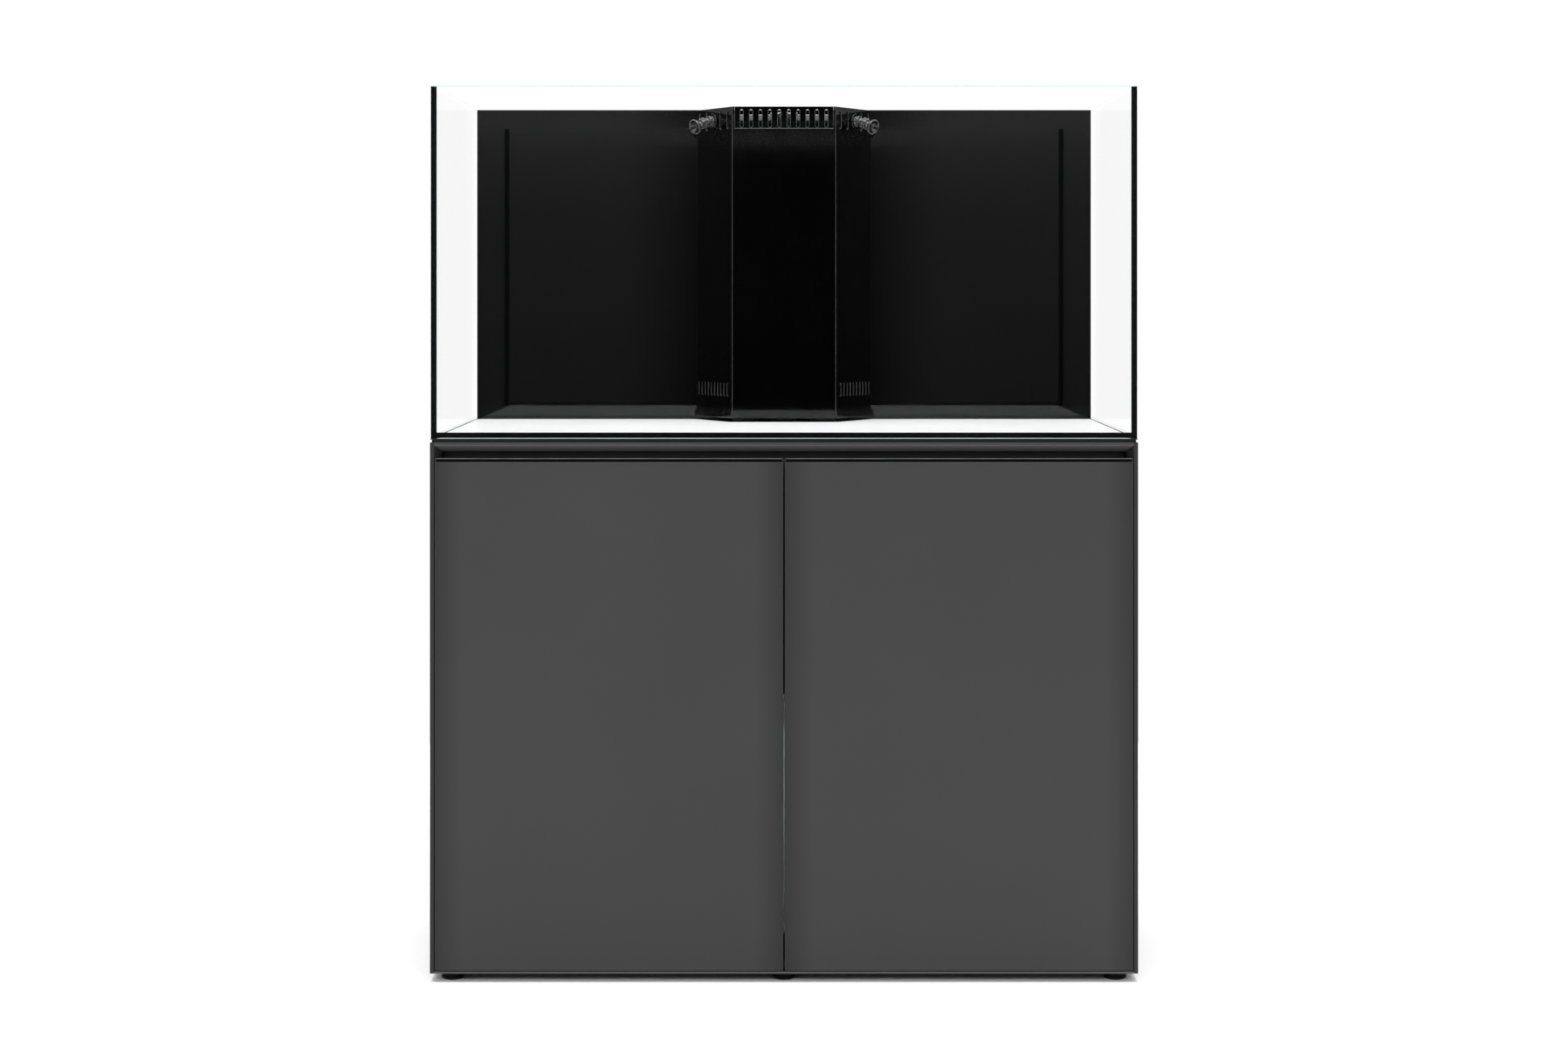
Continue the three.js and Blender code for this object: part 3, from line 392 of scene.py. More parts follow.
def clear_finish(name, colour, straight, grazing, streaks=0.02):
    """Clear sheet: the pane lets the eye through and mirrors more the flatter it is looked along."""
    material, tree, shader = new_finish(name, 0.02, metallic=1.0)
    facing = node(tree, "ShaderNodeLayerWeight", Blend=0.5).outputs["Facing"]
    steep = tree.nodes.new("ShaderNodeMath")
    steep.operation = "POWER"
    steep.inputs[1].default_value = 2.6
    tree.links.new(facing, steep.inputs[0])
    mirror = between(tree, steep.outputs[0], straight, grazing, 0.0, 1.0)
    wiping = noise(tree, over_piece(tree, (1.0, 1.0, 0.3)), 12.0, 5.0, 0.6)
    tree.links.new(mirror, shader.inputs["Alpha"])
    tree.links.new(
        tones(tree, wiping, colour, tuple(min(1, c * 1.04) for c in colour)), shader.inputs["Base Color"]
    )
    tree.links.new(between(tree, wiping, 0.01, 0.01 + streaks, 0.5, 0.8), shader.inputs["Roughness"])
    return material


def glass_edge_finish(name, dark, light, alpha, roughness=0.12):
    """Ground and polished edge, deeper in colour in some places than in others. Only its outside shows."""
    material, tree, shader = new_finish(name, roughness, specular=0.5)
    depth = noise(tree, over_piece(tree), 7.0, 3.0)
    grinding = noise(tree, over_piece(tree), 700.0, 2.0)
    tree.links.new(tones(tree, depth, dark, light), shader.inputs["Base Color"])
    outside = tree.nodes.new("ShaderNodeMath")
    outside.operation = "SUBTRACT"
    outside.use_clamp = True
    back = tree.nodes.new("ShaderNodeNewGeometry")
    tree.links.new(between(tree, depth, alpha - 0.06, alpha + 0.06), outside.inputs[0])
    tree.links.new(back.outputs["Backfacing"], outside.inputs[1])
    tree.links.new(outside.outputs[0], shader.inputs["Alpha"])
    tree.links.new(between(tree, grinding, roughness, roughness + 0.12), shader.inputs["Roughness"])
    return material


LAMINATE = board_finish("anthracite_laminate", (0.023, 0.023, 0.0235), (0.029, 0.029, 0.0295), 0.46)
# The door's laminate, with painted shade towards its upright edges.
DOOR_WITH_PAINTED_SHADE = door_finish_with_painted_shade("anthracite_door_painted_shade", (0.0185, 0.0185, 0.019), (0.023, 0.023, 0.0235), 0.46)
# A lighter copy of the laminate: painted highlight on the rail's downward slope and the bottom board's narrow
# faces.
LAMINATE_PAINTED_HIGHLIGHT = board_finish("anthracite_painted_highlight", (0.052, 0.052, 0.053), (0.062, 0.062, 0.063), 0.46)
EDGE_BAND = board_finish("anthracite_edge_band", (0.013, 0.013, 0.0133), (0.018, 0.018, 0.0183), 0.42, 0.28)
DARK_LAMINATE = board_finish("black_board", (0.018, 0.018, 0.019), (0.026, 0.026, 0.027), 0.52)
LINING = board_finish("black_lining", (0.004, 0.004, 0.0042), (0.007, 0.007, 0.0073), 0.6, 0.16)
PULL = drawn_finish("anodised_strip", (0.11, 0.11, 0.114), (0.18, 0.18, 0.184), 0.30, (0.02, 1, 1))
# Near-black painted shade in the groove under a door's pull strip.
PULL_GROOVE_PAINTED_SHADE = moulded_finish(
    "groove_painted_shade", (0.002, 0.002, 0.002), (0.004, 0.004, 0.004), 0.6, 900.0, 0.1, 0.08
)
PANE = clear_finish("low_iron_glass", (0.86, 0.93, 0.92), 0.0012, 0.09)
PANE_EDGE = glass_edge_finish("polished_glass_edge", (0.10, 0.27, 0.28), (0.17, 0.38, 0.38), 0.86)
PANE_ARRIS = glass_edge_finish("ground_glass_arris", (0.085, 0.125, 0.13), (0.12, 0.165, 0.17), 0.94, 0.3)
DARK_EDGE = gloss_finish("black_backed_edge", (0.003, 0.008, 0.009), (0.006, 0.014, 0.015), 0.15, 0.03, 0.25)
WHITE_BACKED = moulded_finish("white_opal_sheet", (0.93, 0.94, 0.94), (0.96, 0.97, 0.97), 0.5, 60.0, 0.0, 0.1)
BLACK_GLASS = gloss_finish("black_backed_glass", (0.0006, 0.0006, 0.0007), (0.0011, 0.0011, 0.0012), 0.03)
SILICONE = moulded_finish(
    "black_silicone", (0.0006, 0.0011, 0.0013), (0.0014, 0.0022, 0.0025), 0.42, 260.0, 0.3, 0.06
)
CLEAR_SILICONE = clear_finish("clear_silicone", (0.82, 0.86, 0.86), 0.01, 0.06, 0.2)
FLOOR_EDGE = moulded_finish("floor_edge_line", (0.42, 0.55, 0.55), (0.50, 0.64, 0.64), 0.25, 700.0, 0.05)
# Eased acrylic edges: partly the cut edge's own grey, partly a painted highlight.
ACRYLIC_CUT_AND_HIGHLIGHT = moulded_finish(
    "cut_acrylic_edge_and_painted_highlight", (0.045, 0.045, 0.046), (0.075, 0.075, 0.077), 0.3, 1200.0, 0.1, 0.8
)
ACRYLIC = gloss_finish("black_acrylic", (0.0006, 0.0006, 0.0006), (0.0012, 0.0012, 0.0012), 0.04, 0.03, 0.42)
NOZZLE = moulded_finish(
    "black_nozzle_plastic", (0.018, 0.018, 0.019), (0.032, 0.032, 0.034), 0.19, 900.0, 0.05, 1.0
)
PIPE = moulded_finish("dark_grey_pipe", (0.007, 0.0073, 0.008), (0.011, 0.0115, 0.0125), 0.22, 500.0, 0.08)
FITTING = moulded_finish("grey_fitting", (0.040, 0.042, 0.045), (0.056, 0.058, 0.062), 0.36, 600.0)
LEVER = moulded_finish("red_lever_plastic", (0.30, 0.014, 0.012), (0.38, 0.022, 0.018), 0.36)
CASING = moulded_finish("pump_casing_plastic", (0.012, 0.012, 0.013), (0.022, 0.022, 0.024), 0.4, 480.0, 0.35)
STEEL = drawn_finish("nickel_plated_steel", (0.50, 0.49, 0.47), (0.66, 0.65, 0.63), 0.24, (1, 1, 0.1))
FOAM = foam_finish("black_foam", (0.006, 0.006, 0.006), (0.018, 0.018, 0.018))
FOOT = moulded_finish(
    "black_foot_plastic", (0.0015, 0.0015, 0.0015), (0.003, 0.003, 0.003), 0.5, 700.0, 0.3, 0.12
)
SUMP_GLASS = clear_finish("sump_glass", (0.70, 0.86, 0.83), 0.03, 0.2, 0.01)
SUMP_EDGE = glass_edge_finish("sump_glass_edge", (0.07, 0.24, 0.20), (0.13, 0.34, 0.29), 0.9, 0.2)
BUMPER = moulded_finish("clear_bumper", (0.60, 0.60, 0.58), (0.70, 0.70, 0.68), 0.2, 300.0)


# ---------- making shapes ----------
def spots(*points):
    return [Vector(p) * MM for p in points]


def middle_of(name):
    low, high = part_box(name)
    return (low + high) / 2


def finish_mesh(shell, rounded):
    """Round pieces shade smoothly up to their corners, and flat ones are left flat."""
    for face in shell.faces:
        face.smooth = rounded
    if rounded:
        for edge in shell.edges:
            flat = len(edge.link_faces) != 2 or edge.calc_face_angle(0) > math.radians(35)
            edge.smooth = not flat


def add_piece(name, shells, finishes, body, nodes=(), slot=None):
    """Joins the shells into one object of that name, which rides on the body and stands for the nodes."""
    mesh = bpy.data.meshes.new(name)
    whole = bmesh.new()
    for shell in shells:
        part = bpy.data.meshes.new("part")
        shell.to_mesh(part)
        shell.free()
        whole.from_mesh(part)
        bpy.data.meshes.remove(part)
    whole.to_mesh(mesh)
    whole.free()
    for material in finishes:
        mesh.materials.append(material)
    piece = bpy.data.objects.new(name, mesh)
    bpy.context.scene.collection.objects.link(piece)
    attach(piece, body)
    if nodes:
        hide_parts(*nodes)
    return piece


def soften(shell, width, segments=2, least=28, cut=-1):
    """Eases every edge that turns by more than the least angle, in degrees. Cut is the eased faces' finish."""
    limit = math.radians(least)
    sharp = [e for e in shell.edges if len(e.link_faces) == 2 and e.calc_face_angle(0) > limit]
    return bmesh.ops.bevel(
        shell,
        geom=sharp,
        offset=width * MM,
        offset_type="OFFSET",
        affect="EDGES",
        segments=segments,
        profile=0.5,
        material=cut,
        clamp_overlap=True,
    )["faces"]


def copy_of(name):
    """The node's own shape with its loose triangles joined into whole faces."""
    shell = bmesh.new()
    shell.from_mesh(frame["nodes"][name].data)
    bmesh.ops.remove_doubles(shell, verts=shell.verts, dist=0.01 * MM)
    bmesh.ops.dissolve_limit(shell, angle_limit=math.radians(0.5), verts=shell.verts, edges=shell.edges)
    for face in shell.faces:
        face.material_index = 0
    return shell


def loop(shell, width, height, corner, steps=8, centre=(0, 0)):
    """A closed loop of edges in XY: a rectangle with round corners, or a slot or circle when they meet."""
    sides = 4 * steps
    half_step = math.pi / sides
    radius = corner / math.cos(half_step)
    made = bmesh.ops.create_circle(shell, cap_ends=False, radius=radius * MM, segments=sides)["verts"]
    bmesh.ops.rotate(shell, verts=made, cent=(0, 0, 0), matrix=Matrix.Rotation(half_step, 3, "Z"))
    across = (width / 2 - corner) * MM
    along = (height / 2 - corner) * MM
    for vert in made:
        vert.co.x += math.copysign(across, vert.co.x)
        vert.co.y += math.copysign(along, vert.co.y)
    bmesh.ops.translate(shell, verts=made, vec=(centre[0] * MM, centre[1] * MM, 0))
    return made


def corners(shell, points):
    """A closed loop of edges through the corner points given."""
    made = [shell.verts.new((x * MM, y * MM, 0)) for x, y in points]
    for first, second in zip(made, made[1:] + made[:1]):
        shell.edges.new((first, second))
    return made


def board(outline, thickness, *holes):
    """A flat board in XY, carried up by its thickness. Outline and holes are functions that draw loops."""
    shell = bmesh.new()
    for draw in (outline, *holes):
        draw(shell)
    bmesh.ops.triangle_fill(shell, use_beauty=True, use_dissolve=False, edges=shell.edges)
    raised = bmesh.ops.extrude_face_region(shell, geom=shell.faces[:], use_keep_orig=True)["geom"]
    verts = [item for item in raised if isinstance(item, bmesh.types.BMVert)]
    bmesh.ops.translate(shell, verts=verts, vec=(0, 0, thickness * MM))
    bmesh.ops.recalc_face_normals(shell, faces=shell.faces)
    return shell


def rectangle(x0, x1, y0, y1):
    return lambda shell: corners(shell, [(x0, y0), (x1, y0), (x1, y1), (x0, y1)])


def polygon(points):
    return lambda shell: corners(shell, points)


def opening(width, height, corner, centre, steps=8):
    return lambda shell: loop(shell, width, height, corner, steps, centre)


def disc(radius, centre=(0, 0), steps=12):
    return opening(2 * radius, 2 * radius, radius, centre, steps)


def block(width, depth, height, round_by, segments=3):
    shell = bmesh.new()
    bmesh.ops.create_cube(shell, size=1)
    bmesh.ops.scale(shell, verts=shell.verts, vec=(width * MM, depth * MM, height * MM))
    soften(shell, round_by, segments)
    return shell


def spun(profile, steps=ROUND_STEPS, round_by=0.0):
    """A turned shell about Z from [radius, height] points in millimetres."""
    shell = bmesh.new()
    line = [shell.verts.new((r * MM, 0, z * MM)) for r, z in profile]
    edges = [shell.edges.new(pair) for pair in zip(line, line[1:])]
    bmesh.ops.spin(
        shell,
        geom=line + edges,
        cent=(0, 0, 0),
        axis=(0, 0, 1),
        dvec=(0, 0, 0),
        angle=math.tau,
        steps=steps,
        use_merge=True,
        use_duplicate=False,
    )
    bmesh.ops.remove_doubles(shell, verts=shell.verts, dist=0.001 * MM)
    bmesh.ops.recalc_face_normals(shell, faces=shell.faces)
    if round_by:
        soften(shell, round_by, 2, 40)
    return shell


def ring(inner, outer, low, high, steps=ROUND_STEPS, round_by=0.4):
    return spun([(inner, low), (outer, low), (outer, high), (inner, high), (inner, low)], steps, round_by)


def moved(shell, place, towards=None, turn=0.0):
    """Puts a shell made about the origin at a place, in metres, with its Z axis along the direction given."""
    spin = Matrix.Rotation(turn, 4, "Z")
    aim = (
        UP.rotation_difference(Vector(towards)).to_matrix().to_4x4()
        if towards is not None
        else Matrix.Identity(4)
    )
    bmesh.ops.transform(shell, matrix=Matrix.Translation(place) @ aim @ spin, verts=shell.verts)
    return shell


def rounded(shell):
    finish_mesh(shell, True)
    return shell


def tube(path, radius, wall, bend):
    """A pipe through points in metres, bent round each one that isn't an end, with the wall to its inside."""
    shell = bmesh.new()
    ahead = (path[1] - path[0]).normalized()
    start = bmesh.ops.create_circle(shell, cap_ends=False, radius=radius * MM, segments=SMALL_STEPS)["verts"]
    aim = UP.rotation_difference(ahead).to_matrix().to_4x4()
    bmesh.ops.transform(shell, matrix=Matrix.Translation(path[0]) @ aim, verts=start)
    end = shell.edges[:]
    here = path[0]
    for i in range(1, len(path)):
        ahead = (path[i] - path[i - 1]).normalized()
        last = i == len(path) - 1
        cut = Vector((0, 0, 0))
        if not last:
            after = (path[i + 1] - path[i]).normalized()
            angle = ahead.angle(after)
            cut = ahead * bend * MM * math.tan(angle / 2)
        end = carry(shell, end, path[i] - cut - here)
        here = path[i] - cut
        if not last:
            axis = ahead.cross(after).normalized()
            centre = here + axis.cross(ahead) * bend * MM
            steps = max(4, round(math.degrees(angle) / 9))
            turned = bmesh.ops.spin(
                shell, geom=end, cent=centre, axis=axis, dvec=(0, 0, 0), angle=angle, steps=steps,
                use_merge=False, use_duplicate=False,
            )["geom_last"]
            end = [item for item in turned if isinstance(item, bmesh.types.BMEdge)]
            here = path[i] + after * cut.length
    bmesh.ops.recalc_face_normals(shell, faces=shell.faces)
    bmesh.ops.solidify(shell, geom=shell.faces[:], thickness=wall * MM)
    bmesh.ops.recalc_face_normals(shell, faces=shell.faces)
    return rounded(shell)


def carry(shell, edges, step):
    made = bmesh.ops.extrude_edge_only(shell, edges=edges)["geom"]
    bmesh.ops.translate(shell, verts=[v for v in made if isinstance(v, bmesh.types.BMVert)], vec=step)
    return [e for e in made if isinstance(e, bmesh.types.BMEdge)]


def elbow(path, i, radius, bend):
    """A moulded elbow over the bend at point i, with a thicker socket at each end."""
    before = (path[i] - path[i - 1]).normalized()
    after = (path[i + 1] - path[i]).normalized()
    reach = (bend * math.tan(before.angle(after) / 2) + ELBOW_REACH) * MM
    start, end = path[i] - before * reach, path[i] + after * reach
    body = tube([start, path[i], end], radius + ELBOW_WALL, ELBOW_WALL - 0.2, bend)
    collars = [
        moved(rounded(ring(radius + 0.2, radius + ELBOW_WALL + 1.3, -5, 0)), start, -before),
        moved(rounded(ring(radius + 0.2, radius + ELBOW_WALL + 1.3, -5, 0)), end, after),
    ]
    return [body, *collars]


def screw(radius, height):
    """A pan-head screw with a round socket, its underside at 0 and its head along Z."""
    socket = 0.45 * radius
    return rounded(
        spun(
            [
                (0, 0), (radius, 0), (radius, 0.35 * height), (0.86 * radius, 0.8 * height),
                (0.62 * radius, height), (socket, height), (0.9 * socket, 0.35 * height), (0, 0.3 * height),
            ],
            24,
        )
    )


# ---------- the cabinet ----------
def softened_board(name, new_name, finish, slot, body=ROOT, band=None):
    """A board with its arrises eased. With a band, the narrow faces take the edge band's finish."""
    shell = copy_of(name)
    low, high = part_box(name)
    sizes = high - low
    thin = min(range(3), key=lambda axis: sizes[axis])
    soften(shell, BOARD_ARRIS)
    if band:
        for face in shell.faces:
            face.material_index = int(abs(face.normal[thin]) < 0.9)
    add_piece(new_name, [shell], [finish, band] if band else [finish], body, [name], slot)


def side_board(side, sign):
    """A side of the cabinet: laminate outside, edge band on its narrow faces and a black lining inside."""
    name = f"{side}_side_panel"
    shell = copy_of(name)
    soften(shell, BOARD_ARRIS)
    for face in shell.faces:
        inside = face.normal.x * sign < -0.9
        narrow = abs(face.normal.x) < 0.9
        face.material_index = 2 if inside else int(narrow)
    add_piece(f"{side}_side_board", [shell], [LAMINATE, EDGE_BAND, LINING], ROOT, [name], "laminate")


def cabinet_boards():
    for side, sign in SIDES:
        side_board(side, sign)
        softened_board(f"{side}_door", f"{side}_door_board", DOOR_WITH_PAINTED_SHADE, "laminate", f"{side}_door", EDGE_BAND)
        pull_strip(side)
    # The bottom board's narrow faces take the lighter copy of the laminate: painted highlight.
    softened_board("bottom_panel", "bottom_board", LINING, "laminate", band=LAMINATE_PAINTED_HIGHLIGHT)
    top_rail()
    softened_board("recess_board", "finger_recess_board", DARK_LAMINATE, "dark_laminate", band=EDGE_BAND)
    softened_board("inner_divider", "divider_board", DARK_LAMINATE, "dark_laminate")
    top_board()
    back_board()


def top_rail():
    """The rail over the doors, whose underside slopes up and back into the finger recess."""
    shell = copy_of("top_rail")
    soften(shell, BOARD_ARRIS)
    for face in shell.faces:
        # The slope facing down and forward takes the lighter copy of the laminate: painted highlight.
        face.material_index = int(face.normal.z < -0.2 and face.normal.y < -0.2)
    add_piece("front_top_rail", [shell], [LAMINATE, LAMINATE_PAINTED_HIGHLIGHT], ROOT, ["top_rail"], "laminate")


def pull_strip(side):
    """The metal strip on top of a door: its lip and top show bare, and the groove under the lip is painted
    near-black as shade.
    """
    name = f"{side}_door_pull"
    low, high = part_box(name)
    shell = copy_of(name)
    soften(shell, 0.3)
    for face in shell.faces:
        middle = face.calc_center_median()
        under_lip = middle.z < high.z - 1.6 * MM and middle.y < high.y - 1 * MM
        # Faces under the lip take the painted shade.
        face.material_index = int(under_lip and middle.z > low.z + 0.1 * MM)
    add_piece(f"{side}_pull_strip", [shell], [PULL, PULL_GROOVE_PAINTED_SHADE], f"{side}_door", [name], "pull_strip")


def drain_places():
    """Plan centres of the two drains and the return between them, in millimetres."""
    names = ("main_standpipe", "emergency_standpipe")
    left, right = (middle_of(name) / MM for name in names)
    return_at = middle_of("return_bulkhead") / MM
    return [(left.x, left.y), (return_at.x, return_at.y), (right.x, right.y)]


def level_board(name, new_name, finish, slot, holes, ease=BOARD_ARRIS):
    """A level board cut to the node's plan, with round holes through it."""
    low, high = (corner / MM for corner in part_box(name))
    shell = board(rectangle(low.x, high.x, low.y, high.y), high.z - low.z, *holes)
    bmesh.ops.translate(shell, verts=shell.verts, vec=(0, 0, low.z * MM))
    soften(shell, ease)
    add_piece(new_name, [shell], [finish], ROOT, [name], slot)


def top_board():
    holes = [disc(FITTING_HOLE, place) for place in drain_places()]
    level_board("top_panel", "cabinet_top_board", DARK_LAMINATE, "dark_laminate", holes)


def back_board():
    """The back, with a service opening on each side and a row of small screws round it."""
    low, high = (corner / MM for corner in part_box("back_panel"))
    thickness = high.y - low.y
    gap = SERVICE_OPENING
    holes = [
        opening(gap["width"], gap["height"], gap["corner"], (sign * gap["aside"], gap["middle"]))
        for _, sign in SIDES
    ]
    shell = board(rectangle(low.x, high.x, low.z, high.z), thickness, *holes)
    soften(shell, BOARD_ARRIS)
    stand_up(shell, high.y)
    screws = []
    for x in (-560, -373, -187, 0, 187, 373, 560):
        for z in (low.z + 9, high.z - 9):
            screws.append(moved(screw(3.4, 1.6), Vector((x, high.y - 0.1, z)) * MM, (0, 1, 0)))
    for z in (170, 325, 480, 635):
        for x in (low.x + 9, high.x - 9):
            screws.append(moved(screw(3.4, 1.6), Vector((x, high.y - 0.1, z)) * MM, (0, 1, 0)))
    add_piece("cabinet_back_board", [shell], [DARK_LAMINATE], ROOT, ["back_panel"], "dark_laminate")
    add_piece("back_screws", screws, [STEEL], ROOT)


def stand_up(shell, face_y):
    """Turns a board drawn in XY so that it stands in XZ with its first face at the Y given."""
    bmesh.ops.rotate(
        shell, verts=shell.verts, cent=(0, 0, 0), matrix=Matrix.Rotation(math.radians(90), 3, "X")
    )
    bmesh.ops.translate(shell, verts=shell.verts, vec=(0, face_y * MM, 0))


def feet():
    for row in ("front", "back"):
        for column in ("left", "middle", "right"):
            name = f"{row}_{column}_foot"
            low, high = (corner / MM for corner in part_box(name))
            top = 13.5
            profile = [
                (0, low.z), (15.5, low.z), (17.6, 0.7), (18.7, 2.0), (19, 3.6), (19, 5.2), (18.2, 5.7),
                (18.2, 11.2), (19, 11.7), (19, top - 0.6), (18.4, top), (5, top), (5, high.z), (0, high.z),
            ]
            shell = rounded(spun(profile))
            place = Vector(((low.x + high.x) / 2, (low.y + high.y) / 2, 0)) * MM
            add_piece(
                f"{row}_{column}_levelling_foot", [foot_grips(shell, place)], [FOOT], name, [name], "foot_rubber"
            )


def foot_grips(shell, place):
    """Twenty-two flutes round the waist of a foot, for turning it by hand."""
    waist = [f for f in shell.faces if abs(f.normal.z) < 0.1 and 8 < f.calc_center_median().z / MM < 9]
    waist.sort(key=lambda f: math.atan2(f.calc_center_median().y, f.calc_center_median().x))
    raised = [f for i, f in enumerate(waist) if i % 3 == 0]
    bmesh.ops.inset_individual(shell, faces=raised, thickness=0.25 * MM, depth=0.5 * MM)
    return moved(shell, place)


def hinges():
    for side, sign in SIDES:
        for level in ("lower", "upper"):
            hinge_cup(side, level)
            hinge_arm(side, sign, level)


def hinge_cup(side, level):
    name = f"{side}_{level}_hinge_cup"
    low, high = (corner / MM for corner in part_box(name))
    centre = (low + high) / 2
    back = high.y
    flange = board(opening(44, 60, 9, (0, 0), 6), 1.6, disc(15.2))
    soften(flange, 0.3)
    flange = moved(flange, Vector((centre.x, back, centre.z)) * MM, (0, -1, 0))
    shell = spun(
        [(0, 12.4), (17.0, 12.4), (17.0, 0.3), (15.2, 0.3), (15.2, 10.6), (0, 10.6)], ROUND_STEPS, 0.5
    )
    cup = moved(rounded(shell), Vector((centre.x, back - 1.0, centre.z)) * MM, (0, -1, 0))
    screws = [
        moved(screw(3.6, 1.3), Vector((centre.x, back, centre.z + step)) * MM, (0, 1, 0)) for step in (
            -24, 24
        )
    ]
    add_piece(
        f"{side}_{level}_hinge_pot", [flange, cup, *screws], [STEEL], f"{side}_door", [name], "hinge_steel"
    )


def hinge_arm(side, sign, level):
    name = f"{side}_{level}_hinge_arm"
    low, high = (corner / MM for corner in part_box(name))
    wall = high.x if sign > 0 else low.x
    mid_z = (low.z + high.z) / 2
    plate = board(opening(48, 50, 7, (0, 0), 6), HINGE_PLATE)
    soften(plate, 0.8)
    plate_y = high.y - 24
    inward = Vector((-sign, 0, 0))
    plate = moved(plate, Vector((wall, plate_y, mid_z)) * MM, inward)
    arm_x = wall - sign * (HINGE_PLATE + HINGE_ARM / 2)
    arm = block(60, 18, HINGE_ARM, 2.5)
    arm = moved(arm, Vector((arm_x, low.y + 30, mid_z)) * MM, inward, math.radians(90))
    screws = [
        moved(screw(3.6, 1.6), Vector((wall - sign * 5.6, plate_y, mid_z + step)) * MM, inward) for step in (
            -17, 17
        )
    ]
    screws += [
        moved(screw(4.2, 1.2), Vector((wall - sign * 19.1, low.y + step, mid_z)) * MM, inward) for step in (
            24, 44
        )
    ]
    add_piece(f"{side}_{level}_hinge_body", [plate, arm, *screws], [STEEL], ROOT, [name], "hinge_steel")


def door_bumpers():
    for side, _ in SIDES:
        low, high = (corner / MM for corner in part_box(f"{side}_door"))
        buds = []
        for x in (low.x + 42, high.x - 42):
            profile = [(0, 0), (4, 0), (4, 0.7), (3.2, 1.4), (1.6, 1.7), (0, 1.7)]
            buds.append(moved(rounded(spun(profile, 24)), Vector((x, high.y, 27)) * MM, (0, 1, 0)))
        add_piece(f"{side}_door_bumpers", buds, [BUMPER], f"{side}_door")


# ---------- the tank ----------
def sort_glass(thin, arris_under=1.4):
    """Gives a pane's broad faces the first finish, its edges the second and its narrow arrises the third."""

    def sort(shell):
        for face in shell.faces:
            narrow = min(edge.calc_length() for edge in face.edges) < arris_under * MM
            broad = abs(face.normal[thin]) > 0.99
            face.material_index = 0 if broad else 2 if narrow else 1

    return sort


def panes():
    clear = [PANE, PANE_EDGE, PANE_ARRIS, DARK_EDGE]
    for name, thin, finishes, slot in (
        ("front_pane", 1, clear, "clear_glass"),
        ("left_pane", 0, clear, "clear_glass"),
        ("right_pane", 0, clear, "clear_glass"),
        ("back_pane", 1, [BLACK_GLASS, DARK_EDGE, BLACK_GLASS, PANE], "black_glass"),
    ):
        shell = copy_of(name)
        soften(shell, GLASS_ARRIS, 1)
        sort_glass(thin)(shell)
        for face in shell.faces:
            upright = abs(face.normal.z) < 0.1
            arris = max(abs(face.normal.x), abs(face.normal.y)) < 0.9
            end = thin == 0 and abs(face.normal.y) > 0.6  # a side pane's ends lie against the other panes
            if upright and (arris or end):
                face.material_index = 3 if end and face.normal.y < 0 else 0
        if name == "back_pane":
            leave_seams_clear(shell)
        else:
            for face in shell.faces:
                if face.normal.z < -0.3:
                    face.material_index = 3
        add_piece(f"{name}_glass", [shell], finishes, ROOT, [name], slot)
    floor_glass()
    holes = [disc(FITTING_HOLE, place) for place in drain_places()]
    level_board("levelling_mat", "foam_mat", FOAM, "mat_foam", holes, 0.4)


def floor_glass():
    """The tank's floor: a white sheet under a clear one, blacked out between them under the weir box."""
    low, high = (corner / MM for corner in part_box("floor_pane"))
    layers = []
    for bottom, top, finish in ((low.z, low.z + WHITE_SHEET, 0), (low.z + WHITE_SHEET + 0.3, high.z, 2)):
        holes = [disc(23.8, place) for place in drain_places()]
        shell = board(rectangle(low.x, high.x, low.y, high.y), top - bottom, *holes)
        bmesh.ops.translate(shell, verts=shell.verts, vec=(0, 0, bottom * MM))
        soften(shell, 0.3, 1)
        for face in shell.faces:
            face.material_index = finish
            if finish and abs(face.normal.z) < 0.9:
                face.material_index = 3
        layers.append(shell)
    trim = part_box("weir_base_trim")[0] / MM
    outer, _ = weir_plan()
    out = outer[1].y - trim.y
    plan = [(p.x + math.copysign(out, p.x), p.y - (out if p.y < high.y - 20 else 0)) for p in outer]
    holes = [disc(24, place) for place in drain_places()]
    film = board(polygon([(x, min(y, high.y)) for x, y in plan]), 0.15, *holes)
    bmesh.ops.translate(film, verts=film.verts, vec=(0, 0, (low.z + WHITE_SHEET + 0.06) * MM))
    for face in film.faces:
        face.material_index = 1
    layers.append(film)
    finishes = [WHITE_BACKED, BLACK_GLASS, PANE, CLEAR_SILICONE]
    add_piece("floor_glass", layers, finishes, ROOT, ["floor_pane"], "clear_glass")


def leave_seams_clear(shell):
    """The back pane is painted only between the side panes: the strips over its seams stay clear."""
    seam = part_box("right_pane")[0].x
    for side in (-seam, seam):
        bmesh.ops.bisect_plane(
            shell, geom=shell.verts[:] + shell.edges[:] + shell.faces[:], plane_co=(side, 0, 0), plane_no=(
                1, 0, 0
            )
        )
    for face in shell.faces:
        if abs(face.calc_center_median().x) > seam:
            face.material_index = 3


